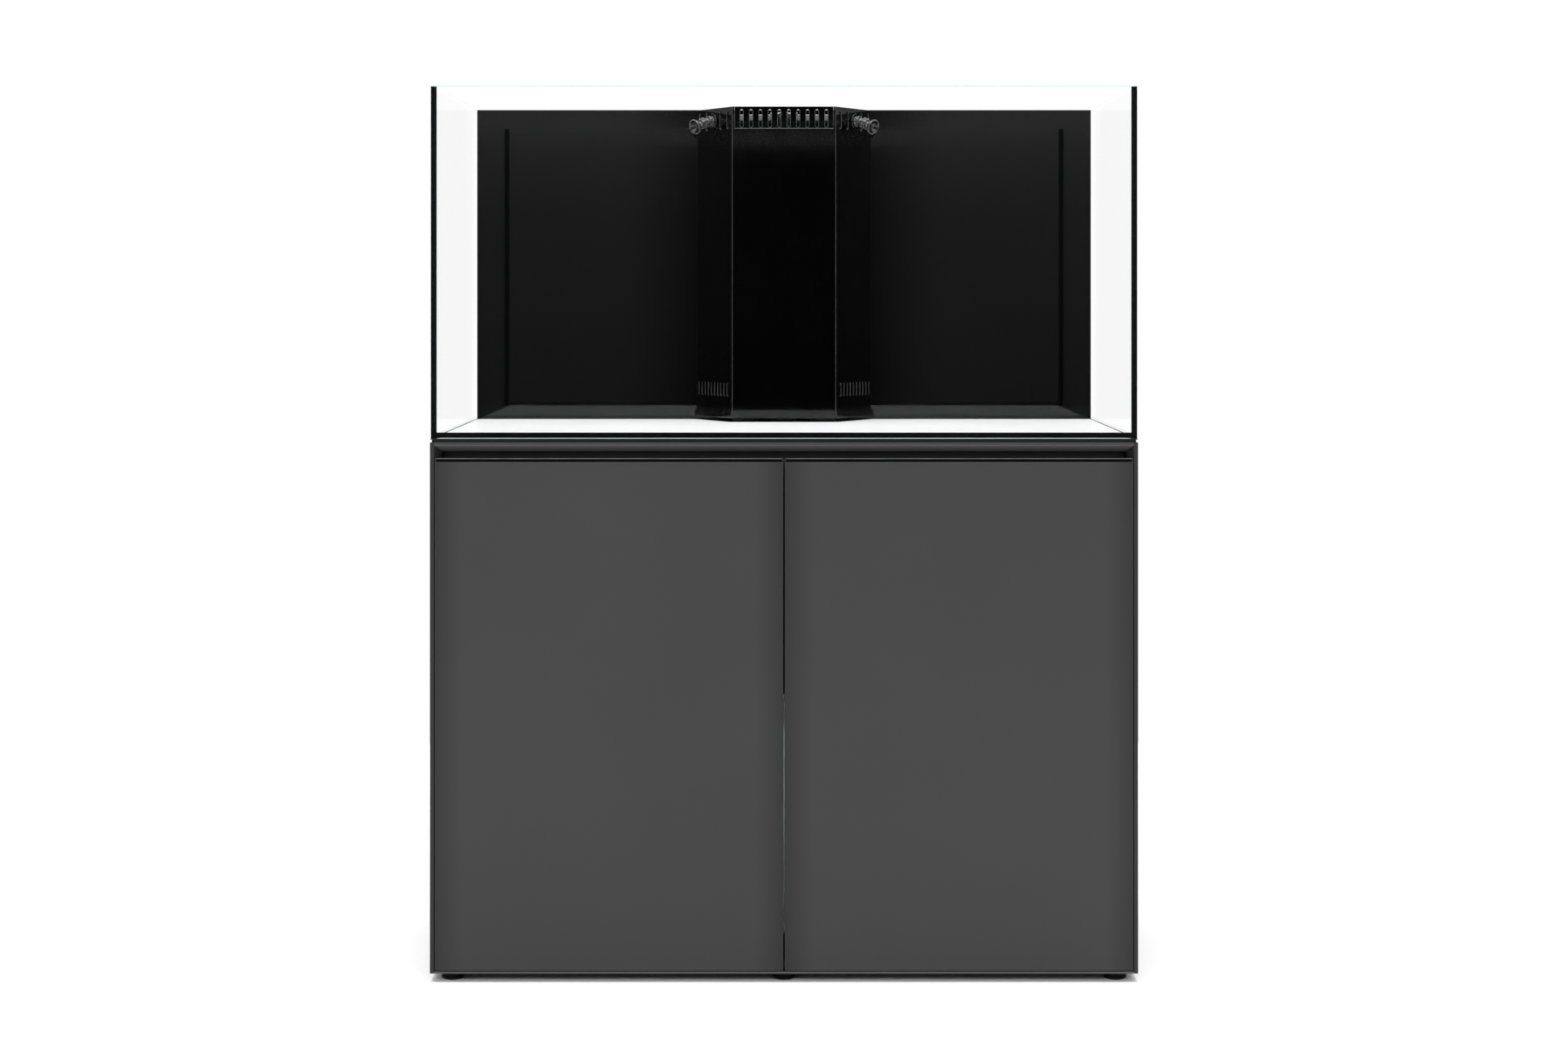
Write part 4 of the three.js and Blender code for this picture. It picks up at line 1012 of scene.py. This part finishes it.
def seams():
    """Silicone: black beads behind the front pane and round the floor. The back corners are bonded clear, and
    get no bead here.
    """
    low, high = (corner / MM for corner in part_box("silicone_seams"))
    side_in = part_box("left_pane")[1].x / MM
    floor_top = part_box("floor_pane")[1].z / MM
    white_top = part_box("floor_pane")[0].z / MM + WHITE_SHEET
    beads = []
    for _, sign in SIDES:
        x0, x1 = sorted((sign * -side_in, sign * (-low.x)))
        beads.append(slab(x0, x1, low.y, low.y + 1.4, low.z, high.z))
        x0, x1 = sorted((sign * (-side_in - 0.1), sign * (-side_in - 1.7)))
        beads.append(slab(x0, x1, low.y + 1.5, high.y - 1.5, white_top, white_top + 0.8))
    beads.append(slab(side_in, -side_in, high.y - 1.4, high.y, low.z, white_top + 0.4))
    line_low, line_high = low.z + FLOOR_LINE[0], low.z + FLOOR_LINE[1]
    beads.append(slab(side_in, -side_in, low.y, low.y + 1.4, low.z, line_low))
    beads.append(slab(side_in, -side_in, low.y, low.y + 1.4, line_high, floor_top - 0.2))
    line = slab(side_in + 6, -side_in - 6, low.y + 0.05, low.y + 1.2, line_low, line_high)
    for face in line.faces:
        face.material_index = 1
    beads.append(line)
    for bead in beads:
        soften(bead, 0.35, 2)
    finishes = [SILICONE, FLOOR_EDGE]
    add_piece("silicone_beads", beads, finishes, ROOT, ["silicone_seams"], "silicone")


def slab(x0, x1, y0, y1, z0, z1):
    shell = bmesh.new()
    bmesh.ops.create_cube(shell, size=1)
    bmesh.ops.scale(shell, verts=shell.verts, vec=((x1 - x0) * MM, (y1 - y0) * MM, (z1 - z0) * MM))
    bmesh.ops.translate(shell, verts=shell.verts, vec=Vector((x0 + x1, y0 + y1, z0 + z1)) * MM / 2)
    return shell


# ---------- the weir box ----------
def weir_plan():
    """Outer and inner corners of the weir box in plan, from its back left round to its back right."""
    low, high = (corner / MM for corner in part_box("weir_box"))
    half_back, half_front = high.x, WEIR_FRONT / 2
    slant = math.atan2(high.y - low.y, half_back - half_front)
    shift = WEIR_WALL / math.sin(slant)
    front_shift = shift - WEIR_WALL / math.tan(slant)
    outer = [(-half_back, high.y), (-half_front, low.y), (half_front, low.y), (half_back, high.y)]
    inner_front = low.y + WEIR_WALL
    inner = [
        (-half_back + shift, high.y),
        (-half_front + front_shift, inner_front),
        (half_front - front_shift, inner_front),
        (half_back - shift, high.y),
    ]
    return [Vector((*p, 0)) for p in outer], [Vector((*p, 0)) for p in inner]


def weir_wall(start, end, inner_start, inner_end, outline, holes):
    """One wall of the weir box, drawn with its length along X, then mitred and stood in its place."""
    low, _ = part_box("weir_box")
    along = (end - start).normalized()
    shell = board(outline, -WEIR_WALL, *holes)
    length = (end - start).length
    mitres = {0: (inner_start - start).dot(along), length: (inner_end - start).dot(along)}
    for vert in shell.verts:
        if vert.co.z < -0.5 * WEIR_WALL * MM:
            for at, inner in mitres.items():
                if abs(vert.co.x / MM - at) < 0.01:
                    vert.co.x = inner * MM
    # The eased edges take the lighter cut-edge finish: partly real cut edge, partly painted highlight.
    soften(shell, ACRYLIC_ARRIS, 2, 28, 1)
    outward = along.cross(UP)
    turn = Matrix((along, UP, outward)).transposed().to_4x4()
    bmesh.ops.transform(shell, matrix=Matrix.Translation(start * MM + UP * low.z) @ turn, verts=shell.verts)
    return shell


def weir_box():
    low, high = (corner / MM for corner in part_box("weir_box"))
    height = high.z - low.z
    outer, inner = weir_plan()
    length = (outer[1] - outer[0]).length
    socket_z = joint_of["left_swivel_turn"]["pos_m"][2] / MM - low.z
    walls = []
    for end in (0, 2):
        holes = [disc(SOCKET_HOLE, (side_place(end, length, SOCKET_SHARE), socket_z))]
        for slot, middle in (
            (SIDE_SLOT, height - SIDE_SLOT_BELOW - SIDE_SLOT["height"] / 2),
            (GRATE_SLOT, GRATE_ABOVE + GRATE_SLOT["height"] / 2),
        ):
            for i in range(slot["count"]):
                if slot is SIDE_SLOT and i == slot["count"] // 2:
                    continue
                share = slot["first"] + (slot["last"] - slot["first"]) * i / (slot["count"] - 1)
                at = (side_place(end, length, share), middle)
                holes.append(opening(slot["width"], slot["height"], slot["width"] / 2, at, 5))
        outline = rectangle(0, length, 0, height)
        walls.append(weir_wall(outer[end], outer[end + 1], inner[end], inner[end + 1], outline, holes))
    front = weir_wall(outer[1], outer[2], inner[1], inner[2], front_outline(height), [])
    corner_edge = WEIR_FRONT / 2 - 1.2
    dull_ends(front, corner_edge - COMB_CORNER, corner_edge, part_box("weir_comb")[0].z)
    walls.append(front)
    add_piece("weir_box_walls", walls, [ACRYLIC, ACRYLIC_CUT_AND_HIGHLIGHT], ROOT, ["weir_box"], "black_acrylic")


def side_place(end, length, share):
    """How far along a slanted wall a share lies, which is counted from the wall's back corner."""
    return share * length if end == 0 else (1 - share) * length


def front_outline(height):
    comb_low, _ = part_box("weir_comb")
    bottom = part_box("weir_box")[0].z
    notch = (comb_low.z - bottom) / MM - 0.3
    inset = COMB_CORNER - 0.3
    return polygon(
        [
            (0, 0), (WEIR_FRONT, 0), (WEIR_FRONT, height), (WEIR_FRONT - inset, height),
            (WEIR_FRONT - inset, notch), (inset, notch), (inset, height), (0, height),
        ]
    )


def weir_comb():
    low, high = (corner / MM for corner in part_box("weir_comb"))
    middle = low.z + COMB_SLOT["above"] + COMB_SLOT["height"] / 2
    holes = []
    for i in range(COMB_SLOT["count"]):
        x = (i - (COMB_SLOT["count"] - 1) / 2) * COMB_SLOT["pitch"]
        holes.append(opening(COMB_SLOT["width"], COMB_SLOT["height"], COMB_SLOT["width"] / 2, (x, middle), 5))
    shell = board(rectangle(low.x, high.x, low.z, high.z), high.y - low.y, *holes)
    # The eased edges take the lighter cut-edge finish: partly real cut edge, partly painted highlight.
    soften(shell, ACRYLIC_ARRIS, 2, 28, 1)
    dull_ends(shell, high.x - 1)
    stand_up(shell, high.y)
    add_piece("weir_comb_plate", [shell], [ACRYLIC, ACRYLIC_CUT_AND_HIGHLIGHT], "weir_comb", ["weir_comb"], "black_acrylic")


def dull_ends(shell, start, end=math.inf, above=-math.inf):
    """Gives faces beyond start and short of end, higher than above, the sheet's own dark finish, without the
    painted highlight of the eased edges.
    """
    for face in shell.faces:
        middle = face.calc_center_median()
        inside = start * MM < abs(middle.x) < end * MM
        if inside and middle.z > above + 1 * MM:
            face.material_index = 0


def weir_trim():
    shell = copy_of("weir_base_trim")
    soften(shell, 0.8, 2)
    add_piece("weir_base_strip", [shell], [ACRYLIC], ROOT, ["weir_base_trim"], "black_acrylic")


# ---------- return outlets ----------
NECK = 4.7
BALL = 7.2
CAVITY = 7.7
CUP = 10.4
BORE = 3.2
BALL_PITCH = 18.5


def arc(radius, z, start, end, steps):
    """Points round a ball centre on the axis, from one angle off the axis to another, in degrees."""
    angles = [math.radians(start + (end - start) * i / steps) for i in range(steps + 1)]
    return [(radius * math.sin(a), z + radius * math.cos(a)) for a in angles]


def cup_mouth(z):
    rim = z + CAVITY * math.cos(math.radians(78))
    return [(CUP - 0.3, rim - 0.6), (CUP - 1, rim), (CAVITY * math.sin(math.radians(78)) + 0.2, rim)] + arc(
        CAVITY, z, 79, 150, 9
    )


def cup_ribs(start):
    """Three shallow grooves round the outside of a cup, for gripping it."""
    points = []
    for z in (start, start + 2, start + 4):
        points += [(CUP, z - 0.8), (CUP - 0.4, z - 0.4), (CUP - 0.4, z), (CUP, z + 0.4)]
    return points


def outlet_socket():
    """The wall fitting, along Z from the wall's outer face."""
    mouth = cup_mouth(BALL_OUT)
    back = BALL_OUT - CAVITY * math.cos(math.radians(30))
    ribs = cup_ribs(6.4)
    return spun(
        [
            (6, -21), (11, -21), (11, 0.3), (14.6, 0.3), (15, 0.8), (15, 3.6), (14.3, 4.3), (CUP, 4.3), *ribs,
            *mouth, (BORE, back - 1), (BORE, -5), (6, -7), (6, -21),
        ]
    )


def ball_and_neck(top):
    neck = math.degrees(math.asin(NECK / BALL))
    bottom = BALL * math.cos(math.radians(148))
    return [(BORE, bottom), *arc(BALL, 0, 148, neck, 14), (NECK, top)], bottom


def outlet_swivel():
    shoulder = BALL_PITCH - CAVITY - 3
    start, bottom = ball_and_neck(shoulder)
    ribs = cup_ribs(12.4)
    return spun(
        [
            *start, (CUP - 1.5, shoulder + 0.5), (CUP - 0.4, shoulder + 1.3), (CUP, shoulder + 2.4), *ribs,
            *cup_mouth(BALL_PITCH), (BORE, BALL_PITCH - CAVITY - 1), (BORE, bottom),
        ]
    )


def outlet_nozzle():
    start, bottom = ball_and_neck(8)
    return spun(
        [
            *start, (8.8, 8.5), (9.4, 9.2), (9.5, 10.6), (9.9, 12), (10.8, 13.4), (12.2, 14.6),
            (13.5, 15.5), (14.2, 16.1), (14.4, 16.8), (14.3, 17.5), (13.8, 18), (12.7, 18), (12.1, 17.5),
            (11.2, 15.6), (9.6, 13), (8, 11), (4.6, 8.8), (BORE, 8), (BORE, bottom),
        ]
    )


def in_shade(face, part):
    """True on the bore of an outlet part, where the black is painted shade, and on the socket's flange, which is
    also black.
    """
    middle = face.calc_center_median()
    radius = math.hypot(middle.x, middle.y) / MM
    bore = middle.x * face.normal.x + middle.y * face.normal.y < -0.05 * radius * MM and radius < 13.2
    flange = part == "socket" and middle.z < 4.5 * MM
    return bore or flange


def outlets():
    outer, _ = weir_plan()
    slant_in = outer[1] - outer[0]
    for side, sign in SIDES:
        first = Vector(joint_of[f"{side}_swivel_turn"]["pos_m"])
        second = Vector(joint_of[f"{side}_nozzle_tilt"]["pos_m"])
        aim = (second - first).normalized()
        outward = slant_in.cross(UP).normalized()
        outward.x *= -sign
        wall = first - outward * BALL_OUT * MM
        for part, shape, place, towards, body in (
            ("socket", outlet_socket, wall, outward, ROOT),
            ("swivel", outlet_swivel, first, aim, f"{side}_return_swivel"),
            ("nozzle", outlet_nozzle, second, aim, f"{side}_return_nozzle"),
        ):
            shell = rounded(shape())
            for face in shell.faces:
                # Faces in_shade take the black acrylic: painted shade in the bores, and the black flange.
                face.material_index = int(in_shade(face, part))
            name = f"{side}_return_{part}"
            finishes = [NOZZLE, ACRYLIC]
            add_piece(
                f"{side}_outlet_{part}", [moved(shell, place, towards)], finishes, body, [name], "nozzle_plastic"
            )


# ---------- fittings in the tank floor and pipes in the weir box ----------
def bulkheads():
    tank_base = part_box("front_pane")[0].z / MM
    for name, place, radius in zip(
        ("main_drain_bulkhead", "return_bulkhead", "emergency_drain_bulkhead"),
        drain_places(),
        (DRAIN_RADIUS, RETURN_RADIUS, DRAIN_RADIUS),
    ):
        low, high = (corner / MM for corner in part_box(name))
        bore = radius - PIPE_WALL
        flange_low = high.z - 8
        thread = []
        z = flange_low - 14
        while z > low.z + 3:
            thread += [(23.5, z), (22.5, z - 1.1), (22.5, z - 1.5), (23.5, z - 2.6)]
            z -= 3
        body = spun(
            [
                (bore, high.z), (30, high.z), (32, high.z - 1.6), (32, flange_low), (23.5, flange_low),
                *thread,
                (22.6, low.z), (bore, low.z), (bore, high.z),
            ]
        )
        grips = nut_shell(33, 16, 23.7)
        centre = Vector((*place, 0)) * MM
        nut = moved(grips, centre + UP * (tank_base - 16.3) * MM)
        washer = rounded(ring(23.8, 30.5, tank_base - 0.3, tank_base - 0.02, round_by=0.0))
        shells = [moved(rounded(body), centre), nut, moved(washer, centre)]
        add_piece(f"{name}_fitting", shells, [FITTING], ROOT, [name], "fitting_plastic")


def nut_shell(radius, height, bore):
    """A six-sided nut with its corners eased, from 0 up."""
    points = [(radius * math.cos(math.tau * i / 6), radius * math.sin(math.tau * i / 6)) for i in range(6)]
    shell = board(polygon(points), height, disc(bore))
    soften(shell, 1.0, 2, 40)
    return shell


def notched_tube(low, high, radius, notches=0, depth=0.0):
    """An upright tube in millimetres, with notches cut down from its top where asked."""
    shell = bmesh.new()
    steps = 60
    verts = bmesh.ops.create_circle(shell, cap_ends=False, radius=radius * MM, segments=steps)["verts"]
    bmesh.ops.translate(shell, verts=verts, vec=(0, 0, low * MM))
    end = carry(shell, shell.edges[:], (0, 0, (high - depth - low) * MM))
    if notches:
        carry(shell, end, (0, 0, depth * MM))
        open_faces = []
        for face in shell.faces:
            middle = face.calc_center_median()
            step = round(math.atan2(middle.y, middle.x) / math.tau * steps - 0.5) % steps
            if middle.z / MM > high - depth and step % (steps // notches) < 2:
                open_faces.append(face)
        bmesh.ops.delete(shell, geom=open_faces, context="FACES")
    bmesh.ops.recalc_face_normals(shell, faces=shell.faces)
    bmesh.ops.solidify(shell, geom=shell.faces[:], thickness=PIPE_WALL * MM)
    bmesh.ops.recalc_face_normals(shell, faces=shell.faces)
    return shell


def standpipes():
    for name, at, notches in (("main_standpipe", 0, 10), ("emergency_standpipe", 2, 0)):
        low, high = (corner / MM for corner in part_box(name))
        place = Vector((*drain_places()[at], 0)) * MM
        pipe = moved(rounded(notched_tube(low.z, high.z, DRAIN_RADIUS, notches, 18 if notches else 0)), place)
        collar = moved(rounded(ring(DRAIN_RADIUS + 0.1, 24.5, low.z, low.z + 26, round_by=1.0)), place)
        add_piece(f"{name}_tube", [pipe, collar], [PIPE], ROOT, [name], "pipe_plastic")


def riser():
    low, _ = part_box("return_riser")
    x, y = drain_places()[1]
    outer, _ = weir_plan()
    outward = (outer[1] - outer[0]).cross(UP).normalized()
    socket_z = joint_of["left_swivel_turn"]["pos_m"][2]
    foot = Vector((x * MM, y * MM, low.z))
    tee = Vector((x * MM, y * MM, socket_z))
    shells = [tube([foot, tee + UP * 2 * MM], RETURN_RADIUS, PIPE_WALL, 20)]
    shells.append(moved(rounded(ring(RETURN_RADIUS + 0.1, 18.4, 0, 24, round_by=1.0)), foot))
    shells.append(moved(rounded(spun(tee_cap(), ROUND_STEPS)), tee))
    for _, sign in SIDES:
        away = Vector((-sign * outward.x, outward.y, 0))
        first = Vector(joint_of["left_swivel_turn" if sign < 0 else "right_swivel_turn"]["pos_m"])
        wall = first - away * (BALL_OUT + WEIR_WALL) * MM
        mouth = wall - away * 7 * MM
        bend = wall - away * 20 * MM
        inner_end = tee + (bend - tee).normalized() * 8 * MM
        shells.append(tube([mouth, bend, inner_end], RETURN_RADIUS, 2.6, 15))
        shells.append(moved(rounded(ring(RETURN_RADIUS + 0.1, 16.2, 0, 9)), mouth, -away))
        towards = (bend - tee).normalized()
        shells.append(moved(rounded(ring(RETURN_RADIUS + 0.1, 17.6, 12, 26, round_by=1.0)), tee, towards))
    add_piece("return_riser_pipe", shells, [PIPE], ROOT, ["return_riser"], "pipe_plastic")


def tee_cap():
    """The body of a tee, about Z, closed over the top with a low dome."""
    return [
        (RETURN_RADIUS + 0.1, -26), (17.6, -26), (17.6, 10), (16.4, 14.5), (12.5, 17.4), (6, 18.6), (0, 18.9),
        (0, 16.6), (6, 16.2), (11, 14.6), (RETURN_RADIUS + 0.1, 8), (RETURN_RADIUS + 0.1, -26),
    ]


# ---------- plumbing in the cabinet ----------
def drain_pipe():
    low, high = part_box("main_drain_pipe")
    (x, y), sump_top = drain_places()[0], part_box("sump_tank")[1].z / MM
    cup = middle_of("filter_cup") / MM
    path = spots(
        (x, y, high.z / MM),
        (x, y, high.z / MM - 120),
        (cup.x, cup.y, sump_top + 170),
        (cup.x, cup.y, low.z / MM),
    )
    shells = [tube(path, DRAIN_RADIUS, PIPE_WALL, DRAIN_BEND)]
    for i in (1, 2):
        shells += elbow(path, i, DRAIN_RADIUS, DRAIN_BEND)
    add_piece("main_drain_line", shells, [PIPE], ROOT, ["main_drain_pipe"], "pipe_plastic")
    level = joint_of["drain_lever_turn"]["pos_m"][2] / MM
    valve_body(Vector((x, y, level)) * MM)


def valve_body(place):
    body = spun(
        [
            (20.1, -27), (24, -27), (25, -26), (25, -21), (29, -20), (29, -12), (26, -11), (26.6, -6), (
                26.8, 0
            ),
            (26.6, 6), (26, 11), (29, 12), (29, 20), (25, 21), (25, 26), (24, 27), (20.1, 27), (20.1, -27),
        ]
    )
    flutes = [
        moved(block(3.2, 3.2, 8.4, 0.8, 2), Vector((29.2 * math.cos(a), 29.2 * math.sin(a), z)) * MM, None, a)
        for z in (-16, 16)
        for a in (math.tau * i / 14 for i in range(14))
    ]
    stem = spun([(0, 20), (11, 20), (11, 29), (10, 30), (7.6, 30), (7.6, 37.6), (0, 37.6)], SMALL_STEPS, 0.4)
    shells = [rounded(body), *flutes, moved(rounded(stem), (0, 0, 0), (0, -1, 0))]
    for shell in shells:
        bmesh.ops.translate(shell, verts=shell.verts, vec=place)
    add_piece("drain_valve_body", shells, [FITTING], ROOT)


def valve_lever():
    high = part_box("drain_valve_lever")[1] / MM
    pivot = Vector(joint_of["drain_lever_turn"]["pos_m"])
    back = high.y
    length = high.z - pivot.z / MM
    reach = length - 10
    handle = board(
        opening(20, length + 6, 10, (0, (length - 6) / 2), 8), 5, opening(7, 34, 3.5, (0, reach - 20), 6)
    )
    soften(handle, 1.1, 2, 40)
    handle = moved(handle, Vector((pivot.x / MM, back - 5, pivot.z / MM)) * MM)
    turn = Matrix.Rotation(math.radians(90), 3, "X")
    centre = Vector((pivot.x, (back - 5) * MM, pivot.z))
    bmesh.ops.rotate(handle, verts=handle.verts, cent=centre, matrix=turn)
    bmesh.ops.translate(handle, verts=handle.verts, vec=(0, 5 * MM, 0))
    hub = spun([(0, 0), (12, 0), (12, 7), (10.6, 9), (4.4, 9), (4.2, 7.6), (0, 7.6)], SMALL_STEPS, 0.3)
    hub = moved(rounded(hub), Vector((pivot.x / MM, back, pivot.z / MM)) * MM, (0, -1, 0))
    add_piece(
        "valve_handle", [handle, hub], [LEVER], "drain_valve_lever", ["drain_valve_lever"], "lever_plastic"
    )


def other_pipes():
    sump_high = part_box("sump_tank")[1] / MM
    pump = middle_of("return_pump") / MM
    pump_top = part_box("return_pump")[1].z / MM
    low, high = (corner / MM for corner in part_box("emergency_drain_pipe"))
    x, y = drain_places()[2]
    out_x, out_y = sump_high.x - 50, sump_high.y - 70
    path = spots(
        (x, y, high.z), (x, y, sump_high.z + 183.4), (out_x, out_y, sump_high.z + 67), (out_x, out_y, low.z)
    )
    shells = [tube(path, DRAIN_RADIUS, PIPE_WALL, DRAIN_BEND)]
    for i in (1, 2):
        shells += elbow(path, i, DRAIN_RADIUS, DRAIN_BEND)
    add_piece("emergency_drain_line", shells, [PIPE], ROOT, ["emergency_drain_pipe"], "pipe_plastic")
    x, y = drain_places()[1]
    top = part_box("return_pipe")[1].z / MM
    pump_y = sump_high.y - 150
    path = spots(
        (x, y, top), (x, y, sump_high.z + 223.4), (pump.x, pump_y, sump_high.z + 67), (
            pump.x, pump_y, pump_top + 0.3
        )
    )
    shells = [tube(path, RETURN_RADIUS, PIPE_WALL, RETURN_BEND)]
    for i in (1, 2):
        shells += elbow(path, i, RETURN_RADIUS, RETURN_BEND)
    shells.append(moved(rounded(ring(RETURN_RADIUS + 0.1, 19, 0, 22, round_by=1.2)), path[3]))
    add_piece("return_line", shells, [PIPE], ROOT, ["return_pipe"], "pipe_plastic")


def sump():
    for name, thin, new_name in (
        ("sump_inlet_baffle", 0, "inlet_baffle"),
        ("sump_pump_baffle", 0, "pump_baffle"),
    ):
        shell = copy_of(name)
        soften(shell, 0.7, 1)
        sort_glass(thin, 1.1)(shell)
        add_piece(new_name, [shell], [SUMP_GLASS, SUMP_EDGE, SUMP_EDGE], ROOT, [name], "clear_glass")
    shell = copy_of("sump_tank")
    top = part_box("sump_tank")[1].z
    soften(shell, 0.7, 1)
    for face in shell.faces:
        narrow = min(edge.calc_length() for edge in face.edges) < 1.1 * MM
        rim = face.normal.z > 0.5 and face.calc_center_median().z > top - 2 * MM
        face.material_index = int(narrow or rim)
    add_piece("sump_glass_tank", [shell], [SUMP_GLASS, SUMP_EDGE], ROOT, ["sump_tank"], "clear_glass")
    cup = middle_of("filter_cup") / MM
    level_board(
        "filter_cup_holder", "cup_shelf", ACRYLIC, "black_acrylic", [disc(82.5, (cup.x, cup.y), 20)], 0.6
    )


def filter_cup():
    low, high = (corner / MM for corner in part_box("filter_cup"))
    centre = Vector((low.x + high.x, low.y + high.y, 0)) * MM / 2
    shell = bmesh.new()
    steps = 64
    columns = 8
    verts = bmesh.ops.create_circle(shell, cap_ends=False, radius=82 * MM, segments=steps)["verts"]
    bmesh.ops.translate(shell, verts=verts, vec=(0, 0, low.z * MM))
    end = shell.edges[:]
    levels = [low.z, low.z + 20, high.z - 36, high.z]
    for lower, upper in zip(levels, levels[1:]):
        end = carry(shell, end, (0, 0, (upper - lower) * MM))
    windows = []
    for face in shell.faces:
        middle = face.calc_center_median()
        step = round(math.atan2(middle.y, middle.x) / math.tau * steps - 0.5) % steps
        if levels[1] < middle.z / MM < levels[2] and step % (steps // columns) < 5:
            windows.append(face)
    bmesh.ops.delete(shell, geom=windows, context="FACES")
    bmesh.ops.recalc_face_normals(shell, faces=shell.faces)
    bmesh.ops.solidify(shell, geom=shell.faces[:], thickness=3 * MM)
    bmesh.ops.recalc_face_normals(shell, faces=shell.faces)
    rim = ring(82.05, 92, high.z - 3, high.z, round_by=0.8)
    base = spun([(0, low.z), (81, low.z), (81, low.z + 3), (0, low.z + 3)], ROUND_STEPS, 0.6)
    bars = [ring(77.4, 80.2, low.z + z, low.z + z + 1.6, round_by=0.4) for z in range(26, 112, 9)]
    shells = [moved(rounded(part), centre) for part in (shell, rim, base, *bars)]
    add_piece("filter_basket", shells, [ACRYLIC], "filter_cup", ["filter_cup"], "black_acrylic")


def return_pump():
    low, high = (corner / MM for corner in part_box("return_pump"))
    x = (low.x + high.x) / 2
    y1 = high.y
    y0 = y1 - 116
    middle = Vector((x, (y0 + y1) / 2, low.z + 52)) * MM
    casing = moved(block(84, 116, 96, 9, 4), middle + UP * 2 * MM)
    shells = [casing]
    for step in (-44, -22, 0, 22, 44):
        shells.append(moved(block(85.6, 4, 80, 1.2, 2), middle + Vector((0, step, 0)) * MM))
    for dx in (-30, 30):
        for dy in (-44, 44):
            pad = rounded(spun([(0, 0), (9, 0), (9, 5), (7, 7), (0, 7)], 24))
            shells.append(moved(pad, Vector((x + dx, (y0 + y1) / 2 + dy, low.z)) * MM))
    inlet_place = Vector((x, y0 + 4, low.z + 52)) * MM
    rings = [
        point for z in (6, 11, 16, 21) for point in ((24, z), (24, z + 2.4), (22, z + 2.6), (22, z + 4.8))
    ]
    inlet = spun([(0, 0), (24, 0), *rings, (24, 26), (0, 26)], ROUND_STEPS)
    shells.append(moved(rounded(inlet), inlet_place, (0, -1, 0)))
    outlet = spun(
        [
            (11.5, 88), (20, 88), (20, 106), (18.6, 108), (14, 108), (14, high.z - low.z), (
                11.5, high.z - low.z
            ),
            (11.5, 88),
        ]
    )
    shells.append(moved(rounded(outlet), Vector((x, (y0 + y1) / 2, low.z)) * MM))
    add_piece("circulation_pump", shells, [CASING], ROOT, ["return_pump"], "pump_casing")


make_camera()
make_world()
make_floor()
light_the_set()
cabinet_boards()
feet()
hinges()
door_bumpers()
panes()
seams()
weir_box()
weir_comb()
weir_trim()
outlets()
bulkheads()
standpipes()
riser()
drain_pipe()
valve_lever()
other_pipes()
sump()
filter_cup()
return_pump()
